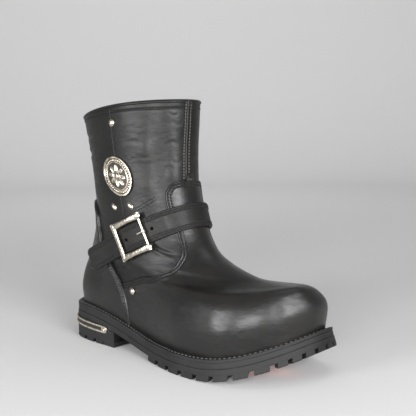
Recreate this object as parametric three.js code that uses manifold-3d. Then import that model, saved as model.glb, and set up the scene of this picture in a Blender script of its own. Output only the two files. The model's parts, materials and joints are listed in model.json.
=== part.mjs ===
// Motorcycle boot for the right foot: a pull-on engineer boot with an ankle strap and a lugged sole.
// Millimetres, +X heel to toe, +Y to the inner (medial) side, +Z up. The boot stands on z = 0.
// The origin is on the ground, under the middle of the heel's rear lug.
import * as THREE from 'three';
import { mergeVertices } from 'three/addons/utils/BufferGeometryUtils.js';
import Module from 'manifold-3d';

const wasm = await Module();
wasm.setup();

// Overall sizes
const SOLE_LENGTH = 318;
const BALL_WIDTH = 120.4;
const UPPER_HEIGHT = 243;
const SHAFT_WIDTH = 100;
const SHAFT_SHIFT = 3;
const REAR_LUG_MIDDLE = 7;
const CLEARANCE = 0.3;

// Layers of the sole, from the ground up
const LUG_DEPTH = 5;
const OUTSOLE = 6;
const MIDSOLE = 6;
const WELT = 3.2;
const STACK = LUG_DEPTH + OUTSOLE + MIDSOLE + WELT;
const HEEL_LIFT = 19.8;
const ARCH = { from: 0.1, to: 0.52 };
const TOE_SPRING = 29;
const SPRING_START = 0.66;
const SPRING_POWER = 2.15;
const TOE_SKEW = 21.5;
const SKEW_START = 0.6;
const SIDE_FLARE = 1.2;
const TOE_FLARE = 4.2;
const FLARE_ZONE = { from: 0.55, to: 0.85 };
const MIDSOLE_STEP = 0.5;
const INSOLE = 4;
const INSOLE_GAP = 0.8;

// Leather
const UPPER_WALL = 2.4;
const VAMP_LEATHER = 1.5;
const COUNTER_LEATHER = 2.6;
const SKIN_ROWS = { from: 7, to: 10 };

// Heel block
const HEEL_LENGTH = 88;
const HEEL_LUG_DEPTH = 4.5;
const HEEL_LUG = { pairs: 5, width: 13.2, pitch: 17.6, waist: 0.72, inner: 0.84, reach: 15 };
const HEEL_CORNER = { width: 17, waist: 1, inner: 1, reach: BALL_WIDTH * 0.208 };
const BREAST_HOLLOW = 7;

// Lugs of the forefoot
const SIDE_LUG = {
  count: 8, width: SOLE_LENGTH * 0.0459, pitch: SOLE_LENGTH * 0.0616, waist: 0.72, inner: 0.84,
  reach: BALL_WIDTH * 0.208,
};
const TOE_LUG = { count: 7, share: 0.68, waist: 0.8, inner: 0.5, reach: BALL_WIDTH * 0.2 };
const LUG_ROOT = 0.8;
const FIRST_LUG = SOLE_LENGTH * 0.472;

// Pads and fittings under the sole
const GRIP = { long: SOLE_LENGTH * 0.0786, wide: BALL_WIDTH * 0.162, height: 3.6 };
const MEDALLION = {
  x: SOLE_LENGTH * 0.384, y: BALL_WIDTH * -0.025, long: SOLE_LENGTH * 0.132, wide: BALL_WIDTH * 0.224,
  height: 1.6,
};
const EYELET = { radius: 2.6, height: 1.2, along: SOLE_LENGTH * 0.085, across: BALL_WIDTH * 0.116 };
const WAIST_RIB = {
  count: 3, from: SOLE_LENGTH * 0.321, pitch: SOLE_LENGTH * 0.041, long: BALL_WIDTH * 0.141, wide: 4,
  height: 2, slope: 0.75, edge: 5,
};
const HEEL_RIDGE = { from: 24, to: 76, side: BALL_WIDTH * 0.1, wide: 1.8, height: 2.6 };
const HEEL_GRIP = { front: 60, rear: 36, long: BALL_WIDTH * 0.162, wide: BALL_WIDTH * 0.162, height: 3.2 };

// Strap and buckle
const STRAP_WIDTH = 26;
const STRAP_THICKNESS = 3.2;
const STRAP_SLOPE = 24;
const STRAP_POINT = { x: 130, z: 127.5 };
const STRAP_FROM = 66;
const STRAP_TO = 316;
const STRAP_ROOT = 0.5;
const STRAP_RISE = { from: 124, to: 142 };
const TAIL = { long: 34, curl: 0.0024, at: [1, 0.95, 0.85, 0.5, 0.2], half: [0.7, 0.9, 1, 1, 1] };
const BUCKLE = { theta: 98, seat: 16, long: 41, high: 40, bar: 6, thick: 3.6, waist: 1.6 };
const BUCKLE_SEAT = { radius: 110, lift: 1.3 };
const BUCKLE_PIN = { radius: 1.1, inset: 2.2 };
const PRONG = { ring: 2.4, wide: 3.4, tip: 2.4, long: 8.5, thick: 1.5 };

// Metal trims on the leather and the heel
const BADGE = { theta: 97.5, row: 11.5, radius: 19.8, rim: 3.2, edge: 1.6, height: 2.6, dish: 1.5 };
const RIVET = { radius: 3.7, dome: 2.1, shoulder: { out: 0.93, up: 0.42 }, crown: { out: 0.6, up: 0.84 } };
const PLATE = { from: 13, to: 59, low: 13.8, high: 21.6, rise: 3, thick: 1.5 };
const PLATE_SCREW = { radius: 2, crown: 1.4, height: 0.9, inset: 3.4 };

// Facets
const AROUND = 40;
const UP = 19;
const SOLE_AROUND = 60;
const ARC_STEPS = 720;
const STRAP_STEPS = 28;
const ROUND = 10;
const BADGE_ROUND = 24;
const STEP = 1e-3;

const LEATHER = { color: 0x2c2a29, roughness: 0.45, metalness: 0 };
const OVERLAY = { color: 0x33302f, roughness: 0.42, metalness: 0 };
const RUBBER = { color: 0x1c1c1d, roughness: 0.75, metalness: 0 };
const ORANGE = { color: 0xf2683c, roughness: 0.55, metalness: 0 };
const LINING = { color: 0x3a3734, roughness: 0.9, metalness: 0 };
const NICKEL = { color: 0xb9b0a0, roughness: 0.32, metalness: 1 };
const GREY = { color: 0x6f6f6e, roughness: 0.6, metalness: 0 };

// Half outlines of the sole: a share of its length, then shares of the ball width on either side.
const OUTLINE_COLUMNS = ['at', 'lateral', 'medial'];
const OUTLINE = table(OUTLINE_COLUMNS, [
  [0, 0, 0],
  [0.016, 0.184, 0.184],
  [0.048, 0.284, 0.284],
  [0.095, 0.327, 0.327],
  [0.16, 0.346, 0.341],
  [0.25, 0.347, 0.326],
  [0.35, 0.355, 0.307],
  [0.445, 0.389, 0.313],
  [0.54, 0.445, 0.376],
  [0.605, 0.481, 0.434],
  [0.67, 0.497, 0.48],
  [0.73, 0.505, 0.504],
  [0.795, 0.502, 0.515],
  [0.84, 0.471, 0.5],
  [0.89, 0.411, 0.455],
  [0.927, 0.34, 0.4],
  [0.96, 0.254, 0.325],
  [0.984, 0.15, 0.225],
  [1, 0, 0],
]);

// Rings of the upper, from the welt to the collar. back and front are shares of the sole's length.
// The rises are heights over the sole, and sag lifts the sides, as shares of the upper's height.
// half is a share of the ball width where foot is 1, and of the shaft's width where foot is 0.
// egg moves the widest place back, follow copies the sole's curve, and bend hollows the ring.
const RING_COLUMNS = [
  'back', 'backRise', 'front', 'frontRise', 'half', 'egg', 'sag', 'foot', 'follow', 'bend',
];
const RINGS = table(RING_COLUMNS, [
  [0.028, 0, 0.972, 0, 0.424, 0, 0, 1, 1, 1],
  [0.025, 0.082, 0.978, 0.093, 0.44, 0, 0, 1, 0.9, 1],
  [0.035, 0.156, 0.962, 0.153, 0.422, 0.1, 0, 0.9, 0.7, 1.2],
  [0.053, 0.226, 0.937, 0.198, 0.41, 0.3, -0.016, 0.6, 0.4, 1.6],
  [0.072, 0.288, 0.89, 0.225, 0.414, 0.45, -0.029, 0.25, 0.1, 2],
  [0.085, 0.337, 0.824, 0.256, 0.425, 0.45, -0.016, 0, 0, 2],
  [0.094, 0.383, 0.752, 0.29, 0.425, 0.38, -0.008, 0, 0, 1.9],
  [0.097, 0.424, 0.679, 0.325, 0.435, 0.3, -0.004, 0, 0, 1.8],
  [0.101, 0.465, 0.623, 0.357, 0.445, 0.22, 0, 0, 0, 1.6],
  [0.101, 0.506, 0.577, 0.413, 0.45, 0.14, 0, 0, 0, 1.4],
  [0.097, 0.56, 0.544, 0.501, 0.46, 0.08, 0, 0, 0, 1.2],
  [0.09, 0.621, 0.522, 0.6, 0.465, 0.04, 0, 0, 0, 1],
  [0.08, 0.683, 0.516, 0.699, 0.47, 0.02, 0.004, 0, 0, 1],
  [0.069, 0.745, 0.516, 0.802, 0.48, 0, 0.008, 0, 0, 1],
  [0.057, 0.798, 0.522, 0.9, 0.49, 0, 0.012, 0, 0, 1],
  [0.047, 0.848, 0.528, 0.999, 0.5, 0, 0.016, 0, 0, 1],
]);
const RING_INDEX = RINGS.back.map((_, i) => i);
const TOP_ROW = RINGS.back.length - 1;

// Front edge of the counter and top edge of the vamp, in side view: shares of the sole's length,
// and heights over the ground as shares of the upper's height.
const COUNTER_EDGE = [
  [0.343, 0.08],
  [0.342, 0.152],
  [0.336, 0.205],
  [0.32, 0.263],
  [0.294, 0.312],
  [0.252, 0.378],
  [0.218, 0.45],
  [0.198, 0.53],
  [0.178, 0.61],
  [0.14, 0.648],
  [0.09, 0.66],
];
const VAMP_EDGE = [
  [0.308, 0.296],
  [0.38, 0.326],
  [0.457, 0.35],
  [0.518, 0.382],
  [0.547, 0.416],
  [0.55, 0.459],
  [0.532, 0.514],
  [0.508, 0.584],
  [0.491, 0.644],
  [0.485, 0.704],
  [0.494, 0.735],
  [0.511, 0.748],
  [0.56, 0.755],
];

// Outline of a paw-shaped grip, as shares of its length and width from its middle.
const PAW = [
  [-0.5, -0.12], [-0.36, -0.34], [-0.05, -0.3], [0.1, -0.5], [0.34, -0.44], [0.5, -0.12],
  [0.4, 0.2], [0.3, 0.44], [0.06, 0.5], [-0.1, 0.28], [-0.34, 0.36], [-0.48, 0.16],
];

// Middles of the grips: shares of the sole's length and of the ball width
const GRIPS = [
  [0.855, 0.108], [0.783, -0.042], [0.758, 0.125], [0.695, -0.1], [0.67, 0.083], [0.601, -0.116],
  [0.575, 0.058], [0.5, -0.033],
];

// Rivets: name, degrees around from the back over the lateral side, ring, and the leather they sit on
const RIVETS = [
  ['top', 96.9, 14.12, 'shaft'],
  ['back', 86, 9.84, 'shaft'],
  ['front', 106.1, 10.21, 'shaft'],
  ['heel_lateral', 73.4, 1.87, 'vamp'],
  ['heel_medial', 286.6, 1.87, 'vamp'],
];

function table(columns, rows) {
  return Object.fromEntries(columns.map((name, k) => [name, rows.map((row) => row[k])]));
}

function mix(a, b, share) {
  return a + (b - a) * share;
}

function smooth(from, to, x) {
  const t = THREE.MathUtils.clamp((x - from) / (to - from), 0, 1);
  return t * t * (3 - 2 * t);
}

// Smooth curve through the points (xs, ys)
function spline(xs, ys, x) {
  const last = xs.length - 1;
  let i = 0;
  while (i < last - 1 && x > xs[i + 1]) i += 1;
  const slope = (k) => (ys[k + 1] - ys[k]) / (xs[k + 1] - xs[k]);
  const tangent = (k) => {
    if (k === 0) return slope(0);
    if (k === last) return slope(last - 1);
    const before = xs[k] - xs[k - 1];
    const after = xs[k + 1] - xs[k];
    return (slope(k - 1) * after + slope(k) * before) / (before + after);
  };
  const h = xs[i + 1] - xs[i];
  const t = (x - xs[i]) / h;
  const s = 1 - t;
  return (1 + 2 * t) * s * s * ys[i] + t * s * s * h * tangent(i)
    + t * t * (3 - 2 * t) * ys[i + 1] - t * t * s * h * tangent(i + 1);
}

// Sole: its outline in plan and the height of its top and of the lugs' ground
const OUTLINE_TURN = OUTLINE.at.map((at) => Math.acos(1 - 2 * at));

function footSide(theta) {
  const lateral = theta <= Math.PI;
  const turn = lateral ? theta : 2 * Math.PI - theta;
  const side = spline(OUTLINE_TURN, lateral ? OUTLINE.lateral : OUTLINE.medial, turn);
  return lateral ? -side : side;
}

function toeSkew(x) {
  const share = Math.max(x / SOLE_LENGTH - SKEW_START, 0) / (1 - SKEW_START);
  return TOE_SKEW * share * share;
}

function wrap(theta) {
  const turn = 2 * Math.PI;
  return ((theta % turn) + turn) % turn;
}

function edgePoint(theta) {
  const x = SOLE_LENGTH * (1 - Math.cos(theta)) / 2;
  return new THREE.Vector2(x, BALL_WIDTH * footSide(wrap(theta)) + toeSkew(x));
}

function outlinePoint(theta, inset) {
  const along = edgePoint(theta + STEP).sub(edgePoint(theta - STEP)).normalize();
  return edgePoint(theta).add(new THREE.Vector2(-along.y, along.x).multiplyScalar(inset));
}

function groundHeight(x) {
  const share = x / SOLE_LENGTH;
  const spring = Math.max(share - SPRING_START, 0) / (1 - SPRING_START);
  return TOE_SPRING * spring ** SPRING_POWER + HEEL_LIFT * (1 - smooth(ARCH.from, ARCH.to, share));
}

function soleTop(x) {
  return groundHeight(x) + STACK;
}

function flare(x) {
  return mix(SIDE_FLARE, TOE_FLARE, smooth(FLARE_ZONE.from, FLARE_ZONE.to, x / SOLE_LENGTH));
}

// A point of the sole's side at a height over the lugs' ground
function sidePoint(theta, height, step = 0) {
  const edge = edgePoint(theta);
  const p = outlinePoint(theta, flare(edge.x) * height / STACK + step);
  return new THREE.Vector3(p.x, p.y, groundHeight(p.x) + height);
}

// Arc length along the outline, from the back over the lateral side, the toe and the medial side
const ARC = arcTable();

function arcTable() {
  const theta = [0];
  const length = [0];
  let before = edgePoint(0);
  for (let i = 1; i <= ARC_STEPS; i += 1) {
    const turn = 2 * Math.PI * i / ARC_STEPS;
    const here = edgePoint(turn);
    theta.push(turn);
    length.push(length[i - 1] + here.distanceTo(before));
    before = here;
  }
  return { theta, length, total: length[ARC_STEPS] };
}

function thetaAtArc(arc) {
  const s = ((arc % ARC.total) + ARC.total) % ARC.total;
  let i = 0;
  while (i < ARC_STEPS - 1 && s > ARC.length[i + 1]) i += 1;
  const share = (s - ARC.length[i]) / (ARC.length[i + 1] - ARC.length[i]);
  return mix(ARC.theta[i], ARC.theta[i + 1], share);
}

function arcAtTheta(theta) {
  const at = THREE.MathUtils.clamp(theta / (2 * Math.PI), 0, 1) * ARC_STEPS;
  const i = Math.min(Math.floor(at), ARC_STEPS - 1);
  return mix(ARC.length[i], ARC.length[i + 1], at - i);
}

function thetaAtX(x) {
  return Math.acos(1 - 2 * THREE.MathUtils.clamp(x / SOLE_LENGTH, 0, 1));
}

// Upper: the skin at an angle around and a ring number, then a distance out along its normal
function skinPoint(theta, row) {
  const ring = {};
  for (const name of RING_COLUMNS) ring[name] = spline(RING_INDEX, RINGS[name], row);
  const share = (1 - Math.cos(theta)) / 2;
  const back = ring.back * SOLE_LENGTH;
  const front = ring.front * SOLE_LENGTH;
  const x = mix(back, front, share);
  const half = ring.half * mix(SHAFT_WIDTH, BALL_WIDTH, ring.foot);
  const oval = SHAFT_SHIFT - half * Math.sin(theta) * (1 + ring.egg * Math.cos(theta));
  const last = 2 * half * footSide(wrap(theta)) + toeSkew(x);
  const backZ = soleTop(back) + ring.backRise * UPPER_HEIGHT;
  const frontZ = soleTop(front) + ring.frontRise * UPPER_HEIGHT;
  const backOver = backZ - ring.follow * soleTop(back);
  const frontOver = frontZ - ring.follow * soleTop(front);
  const hollow = Math.max(1 - share, 0) ** ring.bend;
  const z = ring.follow * soleTop(x) + mix(frontOver, backOver, hollow)
    + ring.sag * UPPER_HEIGHT * Math.sin(theta) ** 2;
  return new THREE.Vector3(x, mix(oval, last, ring.foot), z);
}

function skinNormal(theta, row) {
  const low = Math.max(row - STEP, 0);
  const high = Math.min(row + STEP, TOP_ROW);
  const around = skinPoint(theta + STEP, row).sub(skinPoint(theta - STEP, row));
  const up = skinPoint(theta, high).sub(skinPoint(theta, low));
  return around.cross(up).normalize();
}

// The lower rings are the lining of a vamp and counter that lie on them, so they step in by one layer.
function leatherPoint(theta, row, out) {
  const layer = VAMP_LEATHER + CLEARANCE;
  const step = layer * (1 - smooth(SKIN_ROWS.from, SKIN_ROWS.to, row));
  return skinPoint(theta, row).addScaledVector(skinNormal(theta, row), out - step);
}

function leatherRing(row, out) {
  const ring = [];
  for (let i = 0; i < AROUND; i += 1) {
    const p = leatherPoint(2 * Math.PI * i / AROUND, row, out);
    if (row === 0) p.z = soleTop(p.x) + CLEARANCE;
    ring.push(p);
  }
  return ring;
}

function leatherRings(out) {
  return Array.from({ length: UP }, (_, j) => leatherRing(TOP_ROW * j / (UP - 1), out));
}

// Solids from rings of points
function geometryOf(points, faces) {
  const geometry = new THREE.BufferGeometry();
  const values = points.flatMap((p) => p.toArray());
  geometry.setAttribute('position', new THREE.Float32BufferAttribute(values, 3));
  geometry.setIndex(faces);
  return geometry;
}

function ringFaces(faces, low, high, count) {
  for (let i = 0; i < count; i += 1) {
    const next = (i + 1) % count;
    faces.push(low + i, low + next, high + next, low + i, high + next, high + i);
  }
}

// A cap made of strips from one side of a ring to the other
function capFaces(faces, start, count, up) {
  const push = (a, b, c) => faces.push(start + a, start + (up ? b : c), start + (up ? c : b));
  const half = count / 2;
  push(0, 1, count - 1);
  for (let i = 1; i < half - 1; i += 1) {
    push(i, i + 1, count - i);
    push(i + 1, count - i - 1, count - i);
  }
  push(half - 1, half, half + 1);
}

function stackedRings(rings) {
  const count = rings[0].length;
  const faces = [];
  for (let j = 0; j < rings.length - 1; j += 1) ringFaces(faces, j * count, (j + 1) * count, count);
  capFaces(faces, 0, count, false);
  capFaces(faces, (rings.length - 1) * count, count, true);
  return geometryOf(rings.flat(), faces);
}

function closedRings(rings) {
  const count = rings[0].length;
  const faces = [];
  rings.forEach((_, j) => ringFaces(faces, j * count, ((j + 1) % rings.length) * count, count));
  return geometryOf(rings.flat(), faces);
}

// A block between a polygon of points and a second one over it, with its points in the same order
function block(low, high) {
  const count = low.length;
  const flat = low.map((p) => new THREE.Vector2(p.x, p.y));
  const clockwise = THREE.ShapeUtils.isClockWise(flat);
  if (clockwise) [low, high, flat].forEach((list) => list.reverse());
  const faces = [];
  for (const [a, b, c] of THREE.ShapeUtils.triangulateShape(flat, [])) {
    faces.push(a, c, b, count + a, count + b, count + c);
  }
  ringFaces(faces, 0, count, count);
  return geometryOf([...low, ...high], faces);
}

// Solids that are joined and cut
function toManifold(geometry) {
  const plain = geometry.clone();
  for (const name of Object.keys(plain.attributes)) {
    if (name !== 'position') plain.deleteAttribute(name);
  }
  const merged = mergeVertices(plain, 1e-4);
  const mesh = new wasm.Mesh({
    numProp: 3,
    vertProperties: new Float32Array(merged.attributes.position.array),
    triVerts: new Uint32Array(merged.index.array),
  });
  return new wasm.Manifold(mesh);
}

function toGeometry(solid) {
  const mesh = solid.getMesh();
  const geometry = new THREE.BufferGeometry();
  geometry.setAttribute('position', new THREE.BufferAttribute(new Float32Array(mesh.vertProperties), 3));
  geometry.setIndex(new THREE.BufferAttribute(new Uint32Array(mesh.triVerts), 1));
  return geometry;
}

// A wall across the whole boot, from an outline in side view
function sideCutter(outline, from, to) {
  const shape = new THREE.Shape(outline.map(([x, z]) => new THREE.Vector2(x, z)));
  const geometry = new THREE.ExtrudeGeometry(shape, { depth: to - from, bevelEnabled: false });
  geometry.rotateX(Math.PI / 2);
  geometry.translate(0, to, 0);
  return toManifold(geometry);
}

const boot = new THREE.Group();

function addPiece(name, geometry, look) {
  const flat = geometry.index ? geometry.toNonIndexed() : geometry;
  flat.computeVertexNormals();
  const mesh = new THREE.Mesh(flat, new THREE.MeshStandardMaterial(look));
  mesh.name = name;
  boot.add(mesh);
  return mesh;
}

// Sole layers
function soleRing(height, step = 0) {
  return Array.from({ length: SOLE_AROUND }, (_, i) => (
    sidePoint(2 * Math.PI * i / SOLE_AROUND, height, step)
  ));
}

function lugBlock(arc, size, ground, root) {
  const corner = (share, depth) => {
    const theta = thetaAtArc(arc + share * size.width / 2);
    return outlinePoint(theta, depth);
  };
  const { waist, inner } = size;
  const plan = [
    corner(-1, 0), corner(0, 0), corner(1, 0), corner(waist, size.reach / 2), corner(inner, size.reach),
    corner(-inner, size.reach), corner(-waist, size.reach / 2),
  ];
  const low = plan.map((p) => new THREE.Vector3(p.x, p.y, ground(p.x)));
  const high = plan.map((p, i) => {
    const lean = i < 3 ? flare(p.x) * LUG_DEPTH / STACK : 0;
    const q = i < 3 ? corner(i - 1, lean) : p;
    return new THREE.Vector3(q.x, q.y, root(q.x));
  });
  return block(low, high);
}

function soleLugs() {
  const root = (x) => groundHeight(x) + LUG_DEPTH + LUG_ROOT;
  const lateral = arcAtTheta(thetaAtX(FIRST_LUG));
  const medial = arcAtTheta(2 * Math.PI - thetaAtX(FIRST_LUG));
  const lugs = [];
  for (let i = 0; i < SIDE_LUG.count; i += 1) {
    const along = SIDE_LUG.width / 2 + i * SIDE_LUG.pitch;
    lugs.push(lugBlock(lateral + along, SIDE_LUG, groundHeight, root));
    lugs.push(lugBlock(medial - along, SIDE_LUG, groundHeight, root));
  }
  const from = lateral + SIDE_LUG.count * SIDE_LUG.pitch;
  const pitch = (medial - SIDE_LUG.count * SIDE_LUG.pitch - from) / TOE_LUG.count;
  const size = { ...TOE_LUG, width: pitch * TOE_LUG.share };
  for (let i = 0; i < TOE_LUG.count; i += 1) {
    lugs.push(lugBlock(from + (i + 0.5) * pitch, size, groundHeight, root));
  }
  return lugs;
}

// Slanting ribs under the waist, mirrored about the middle of the sole
function waistRibs() {
  const ribs = [];
  for (const side of [-1, 1]) {
    for (let i = 0; i < WAIST_RIB.count; i += 1) {
      const x = WAIST_RIB.from + i * WAIST_RIB.pitch;
      const theta = side < 0 ? thetaAtX(x) : 2 * Math.PI - thetaAtX(x);
      const edge = outlinePoint(theta, WAIST_RIB.edge);
      const run = WAIST_RIB.long * WAIST_RIB.slope;
      const inner = -side * WAIST_RIB.long;
      const plan = [[0, 0], [WAIST_RIB.wide, 0], [WAIST_RIB.wide + run, inner], [run, inner]];
      const at = (height) => plan.map(([dx, dy]) => (
        new THREE.Vector3(edge.x + dx, edge.y + dy, groundHeight(edge.x + dx) + height)
      ));
      ribs.push(block(at(LUG_DEPTH - WAIST_RIB.height), at(LUG_DEPTH + LUG_ROOT)));
    }
  }
  return ribs;
}

function makeOutsole() {
  let solid = toManifold(stackedRings([soleRing(LUG_DEPTH), soleRing(LUG_DEPTH + OUTSOLE)]));
  for (const piece of [...soleLugs(), ...waistRibs()]) solid = solid.add(toManifold(piece));
  addPiece('outsole', toGeometry(solid), RUBBER);
}

function makeMidsole() {
  const low = LUG_DEPTH + OUTSOLE + CLEARANCE;
  const high = STACK - WELT;
  addPiece('midsole', stackedRings([soleRing(low, MIDSOLE_STEP), soleRing(high, MIDSOLE_STEP)]), RUBBER);
}

function feltPoint(theta, out, height) {
  const p = leatherPoint(theta, 0, out);
  return new THREE.Vector3(p.x, p.y, groundHeight(p.x) + height);
}

function feltRing(out, height, count) {
  return Array.from({ length: count }, (_, i) => feltPoint(2 * Math.PI * i / count, out, height));
}

function makeWelt() {
  const low = STACK - WELT + CLEARANCE;
  const inside = [STACK, low].map((height) => feltRing(-UPPER_WALL, height, SOLE_AROUND));
  addPiece('welt', closedRings([soleRing(low), soleRing(STACK), ...inside]), RUBBER);
}

function makeInsole() {
  const out = -UPPER_WALL - INSOLE_GAP;
  const low = STACK - WELT + CLEARANCE;
  const rings = [low, low + INSOLE].map((height) => feltRing(out, height, AROUND));
  addPiece('insole', stackedRings(rings), LINING);
}

// Heel block with a hollow front face and lugs around its rim
function heelRing(z) {
  const height = LUG_DEPTH * z / (HEEL_LIFT + LUG_DEPTH);
  return Array.from({ length: SOLE_AROUND }, (_, i) => {
    const p = sidePoint(2 * Math.PI * i / SOLE_AROUND, height);
    return new THREE.Vector3(p.x, p.y, z);
  });
}

function heelTopRing() {
  return soleRing(LUG_DEPTH).map((p) => p.setZ(p.z - CLEARANCE));
}

function breastCutter() {
  const half = BALL_WIDTH / 2;
  const front = [];
  for (let i = 0; i <= ROUND; i += 1) {
    const across = 2 * i / ROUND - 1;
    front.push([HEEL_LENGTH - BREAST_HOLLOW * (1 - across * across), across * half]);
  }
  const plan = [[-half, half], [-half, -half], ...front];
  const at = (z) => plan.map(([x, y]) => new THREE.Vector3(x, y, z));
  return toManifold(block(at(-STACK), at(2 * STACK + HEEL_LIFT)));
}

function makeHeel() {
  const keep = breastCutter();
  const core = toManifold(stackedRings([heelRing(HEEL_LUG_DEPTH), heelTopRing()])).intersect(keep);
  const ground = () => 0;
  const root = () => HEEL_LUG_DEPTH + LUG_ROOT;
  let solid = core;
  for (let i = -HEEL_LUG.pairs; i <= HEEL_LUG.pairs; i += 1) {
    solid = solid.add(toManifold(lugBlock(i * HEEL_LUG.pitch, HEEL_LUG, ground, root)));
  }
  const end = arcAtTheta(thetaAtX(HEEL_LENGTH)) - HEEL_CORNER.width / 2;
  for (const side of [-1, 1]) {
    solid = solid.add(toManifold(lugBlock(side * end, HEEL_CORNER, ground, root)));
  }
  addPiece('heel', toGeometry(solid.intersect(keep)), RUBBER);
}

// Pads, medallion and eyelets under the sole
function underBlock(name, plan, height, look) {
  const at = (drop) => plan.map(([x, y]) => (
    new THREE.Vector3(x, y, groundHeight(x) + LUG_DEPTH - CLEARANCE - drop)
  ));
  const over = toManifold(stackedRings([soleRing(LUG_DEPTH - CLEARANCE), soleRing(STACK)]));
  const solid = toManifold(block(at(height), at(-LUG_ROOT))).subtract(over);
  addPiece(name, toGeometry(solid), look);
}

function disc(x, y, long, wide, steps) {
  return Array.from({ length: steps }, (_, i) => {
    const turn = 2 * Math.PI * i / steps;
    return [x + long / 2 * Math.cos(turn), y + wide / 2 * Math.sin(turn)];
  });
}

function pawPlan([x, y], { long, wide }) {
  return PAW.map(([along, across]) => [x + along * long, y + across * wide]);
}

function makeUnderside() {
  GRIPS.forEach(([length, width], i) => {
    const middle = [length * SOLE_LENGTH, width * BALL_WIDTH];
    underBlock(`grip_${i + 1}`, pawPlan(middle, GRIP), GRIP.height, ORANGE);
  });
  const { x, y, long, wide, height } = MEDALLION;
  underBlock('sole_medallion', disc(x, y, long, wide, BADGE_ROUND), height, ORANGE);
  let number = 0;
  for (const along of [-1, 1]) {
    for (const across of [-1, 1]) {
      number += 1;
      const plan = disc(
        x + along * EYELET.along, y + across * EYELET.across, 2 * EYELET.radius, 2 * EYELET.radius, ROUND,
      );
      underBlock(`sole_eyelet_${number}`, plan, EYELET.height, NICKEL);
    }
  }
}

function heelBlock(name, plan, height, look) {
  const at = (z) => plan.map(([x, y]) => new THREE.Vector3(x, y, z));
  const high = HEEL_LUG_DEPTH - CLEARANCE;
  addPiece(name, block(at(high - height), at(high)), look);
}

function makeHeelUnderside() {
  for (const [name, side] of [['lateral', -1], ['medial', 1]]) {
    const y = side * HEEL_RIDGE.side;
    const near = y - HEEL_RIDGE.wide / 2;
    const far = y + HEEL_RIDGE.wide / 2;
    const plan = [
      [HEEL_RIDGE.from, near], [HEEL_RIDGE.to, near], [HEEL_RIDGE.to, far], [HEEL_RIDGE.from, far],
    ];
    heelBlock(`heel_ridge_${name}`, plan, HEEL_RIDGE.height, GREY);
  }
  for (const [name, x] of [['front', HEEL_GRIP.front], ['rear', HEEL_GRIP.rear]]) {
    heelBlock(`heel_grip_${name}`, pawPlan([x, 0], HEEL_GRIP), HEEL_GRIP.height, ORANGE);
  }
}

// Upper: one hollow wall, open at the collar and underneath
function makeUpper() {
  addPiece('upper', closedRings([...leatherRings(0), ...leatherRings(-UPPER_WALL).reverse()]), LEATHER);
}

// A body whose surface lies a distance out from the leather; a skirt carries it below the sole's top
function leatherForm(out, skirt) {
  const rings = leatherRings(out);
  if (skirt) rings.unshift(rings[0].map((p) => p.clone().setZ(p.z - STACK)));
  return toManifold(stackedRings(rings));
}

function overlay(thickness) {
  return leatherForm(CLEARANCE + thickness, false).subtract(leatherForm(CLEARANCE, true));
}

function sideOutline(edge, shift = 0) {
  return edge.map(([x, z]) => [x * SOLE_LENGTH + shift, z * UPPER_HEIGHT]);
}

function counterOutline(grow) {
  const edge = sideOutline(COUNTER_EDGE, grow);
  const [, top] = edge[edge.length - 1];
  return [[-STACK, 0], [edge[0][0], 0], ...edge, [-STACK, top]];
}

function makeCounter() {
  const cutter = sideCutter(counterOutline(0), -BALL_WIDTH, BALL_WIDTH);
  addPiece('counter', toGeometry(overlay(COUNTER_LEATHER).intersect(cutter)), OVERLAY);
}

function vampCutter(grow) {
  const edge = sideOutline(VAMP_EDGE, -grow);
  const end = SOLE_LENGTH + STACK;
  const low = edge[0][1];
  const top = edge[edge.length - 1][1];
  return sideCutter([[0, 0], [0, low], ...edge, [end, top], [end, 0]], -BALL_WIDTH, BALL_WIDTH);
}

function makeVamp() {
  const cutter = vampCutter(0);
  const counter = sideCutter(counterOutline(CLEARANCE), -BALL_WIDTH, BALL_WIDTH);
  const solid = overlay(VAMP_LEATHER).intersect(cutter).subtract(counter);
  addPiece('vamp', toGeometry(solid), OVERLAY);
}

// Strap: a band where a slanting plane meets the leather, with a free tail behind the buckle
const SLOPE = THREE.MathUtils.degToRad(STRAP_SLOPE);
const STRAP_NORMAL = new THREE.Vector3(-Math.sin(SLOPE), 0, Math.cos(SLOPE));
const STRAP_DISTANCE = STRAP_NORMAL.dot(new THREE.Vector3(STRAP_POINT.x, 0, STRAP_POINT.z));

function strapRow(theta, across) {
  let low = 1;
  let high = TOP_ROW;
  for (let i = 0; i < 40; i += 1) {
    const middle = (low + high) / 2;
    const distance = leatherPoint(theta, middle, 0).dot(STRAP_NORMAL) - STRAP_DISTANCE;
    if (distance < across) low = middle;
    else high = middle;
  }
  return (low + high) / 2;
}

// The strap rises where it passes over the top edge of the vamp
function strapLift(theta) {
  const turn = THREE.MathUtils.radToDeg(Math.min(theta, 2 * Math.PI - theta));
  return CLEARANCE + smooth(STRAP_RISE.from, STRAP_RISE.to, turn) * (VAMP_LEATHER + 2 * CLEARANCE);
}

function strapPoint(theta, across, out) {
  return leatherPoint(theta, strapRow(theta, across), strapLift(theta) + out);
}

function strapSection(at, half) {
  return [
    at(-half, -STRAP_ROOT), at(-half, STRAP_THICKNESS), at(0, STRAP_THICKNESS),
    at(half, STRAP_THICKNESS), at(half, -STRAP_ROOT), at(0, -STRAP_ROOT),
  ];
}

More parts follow.
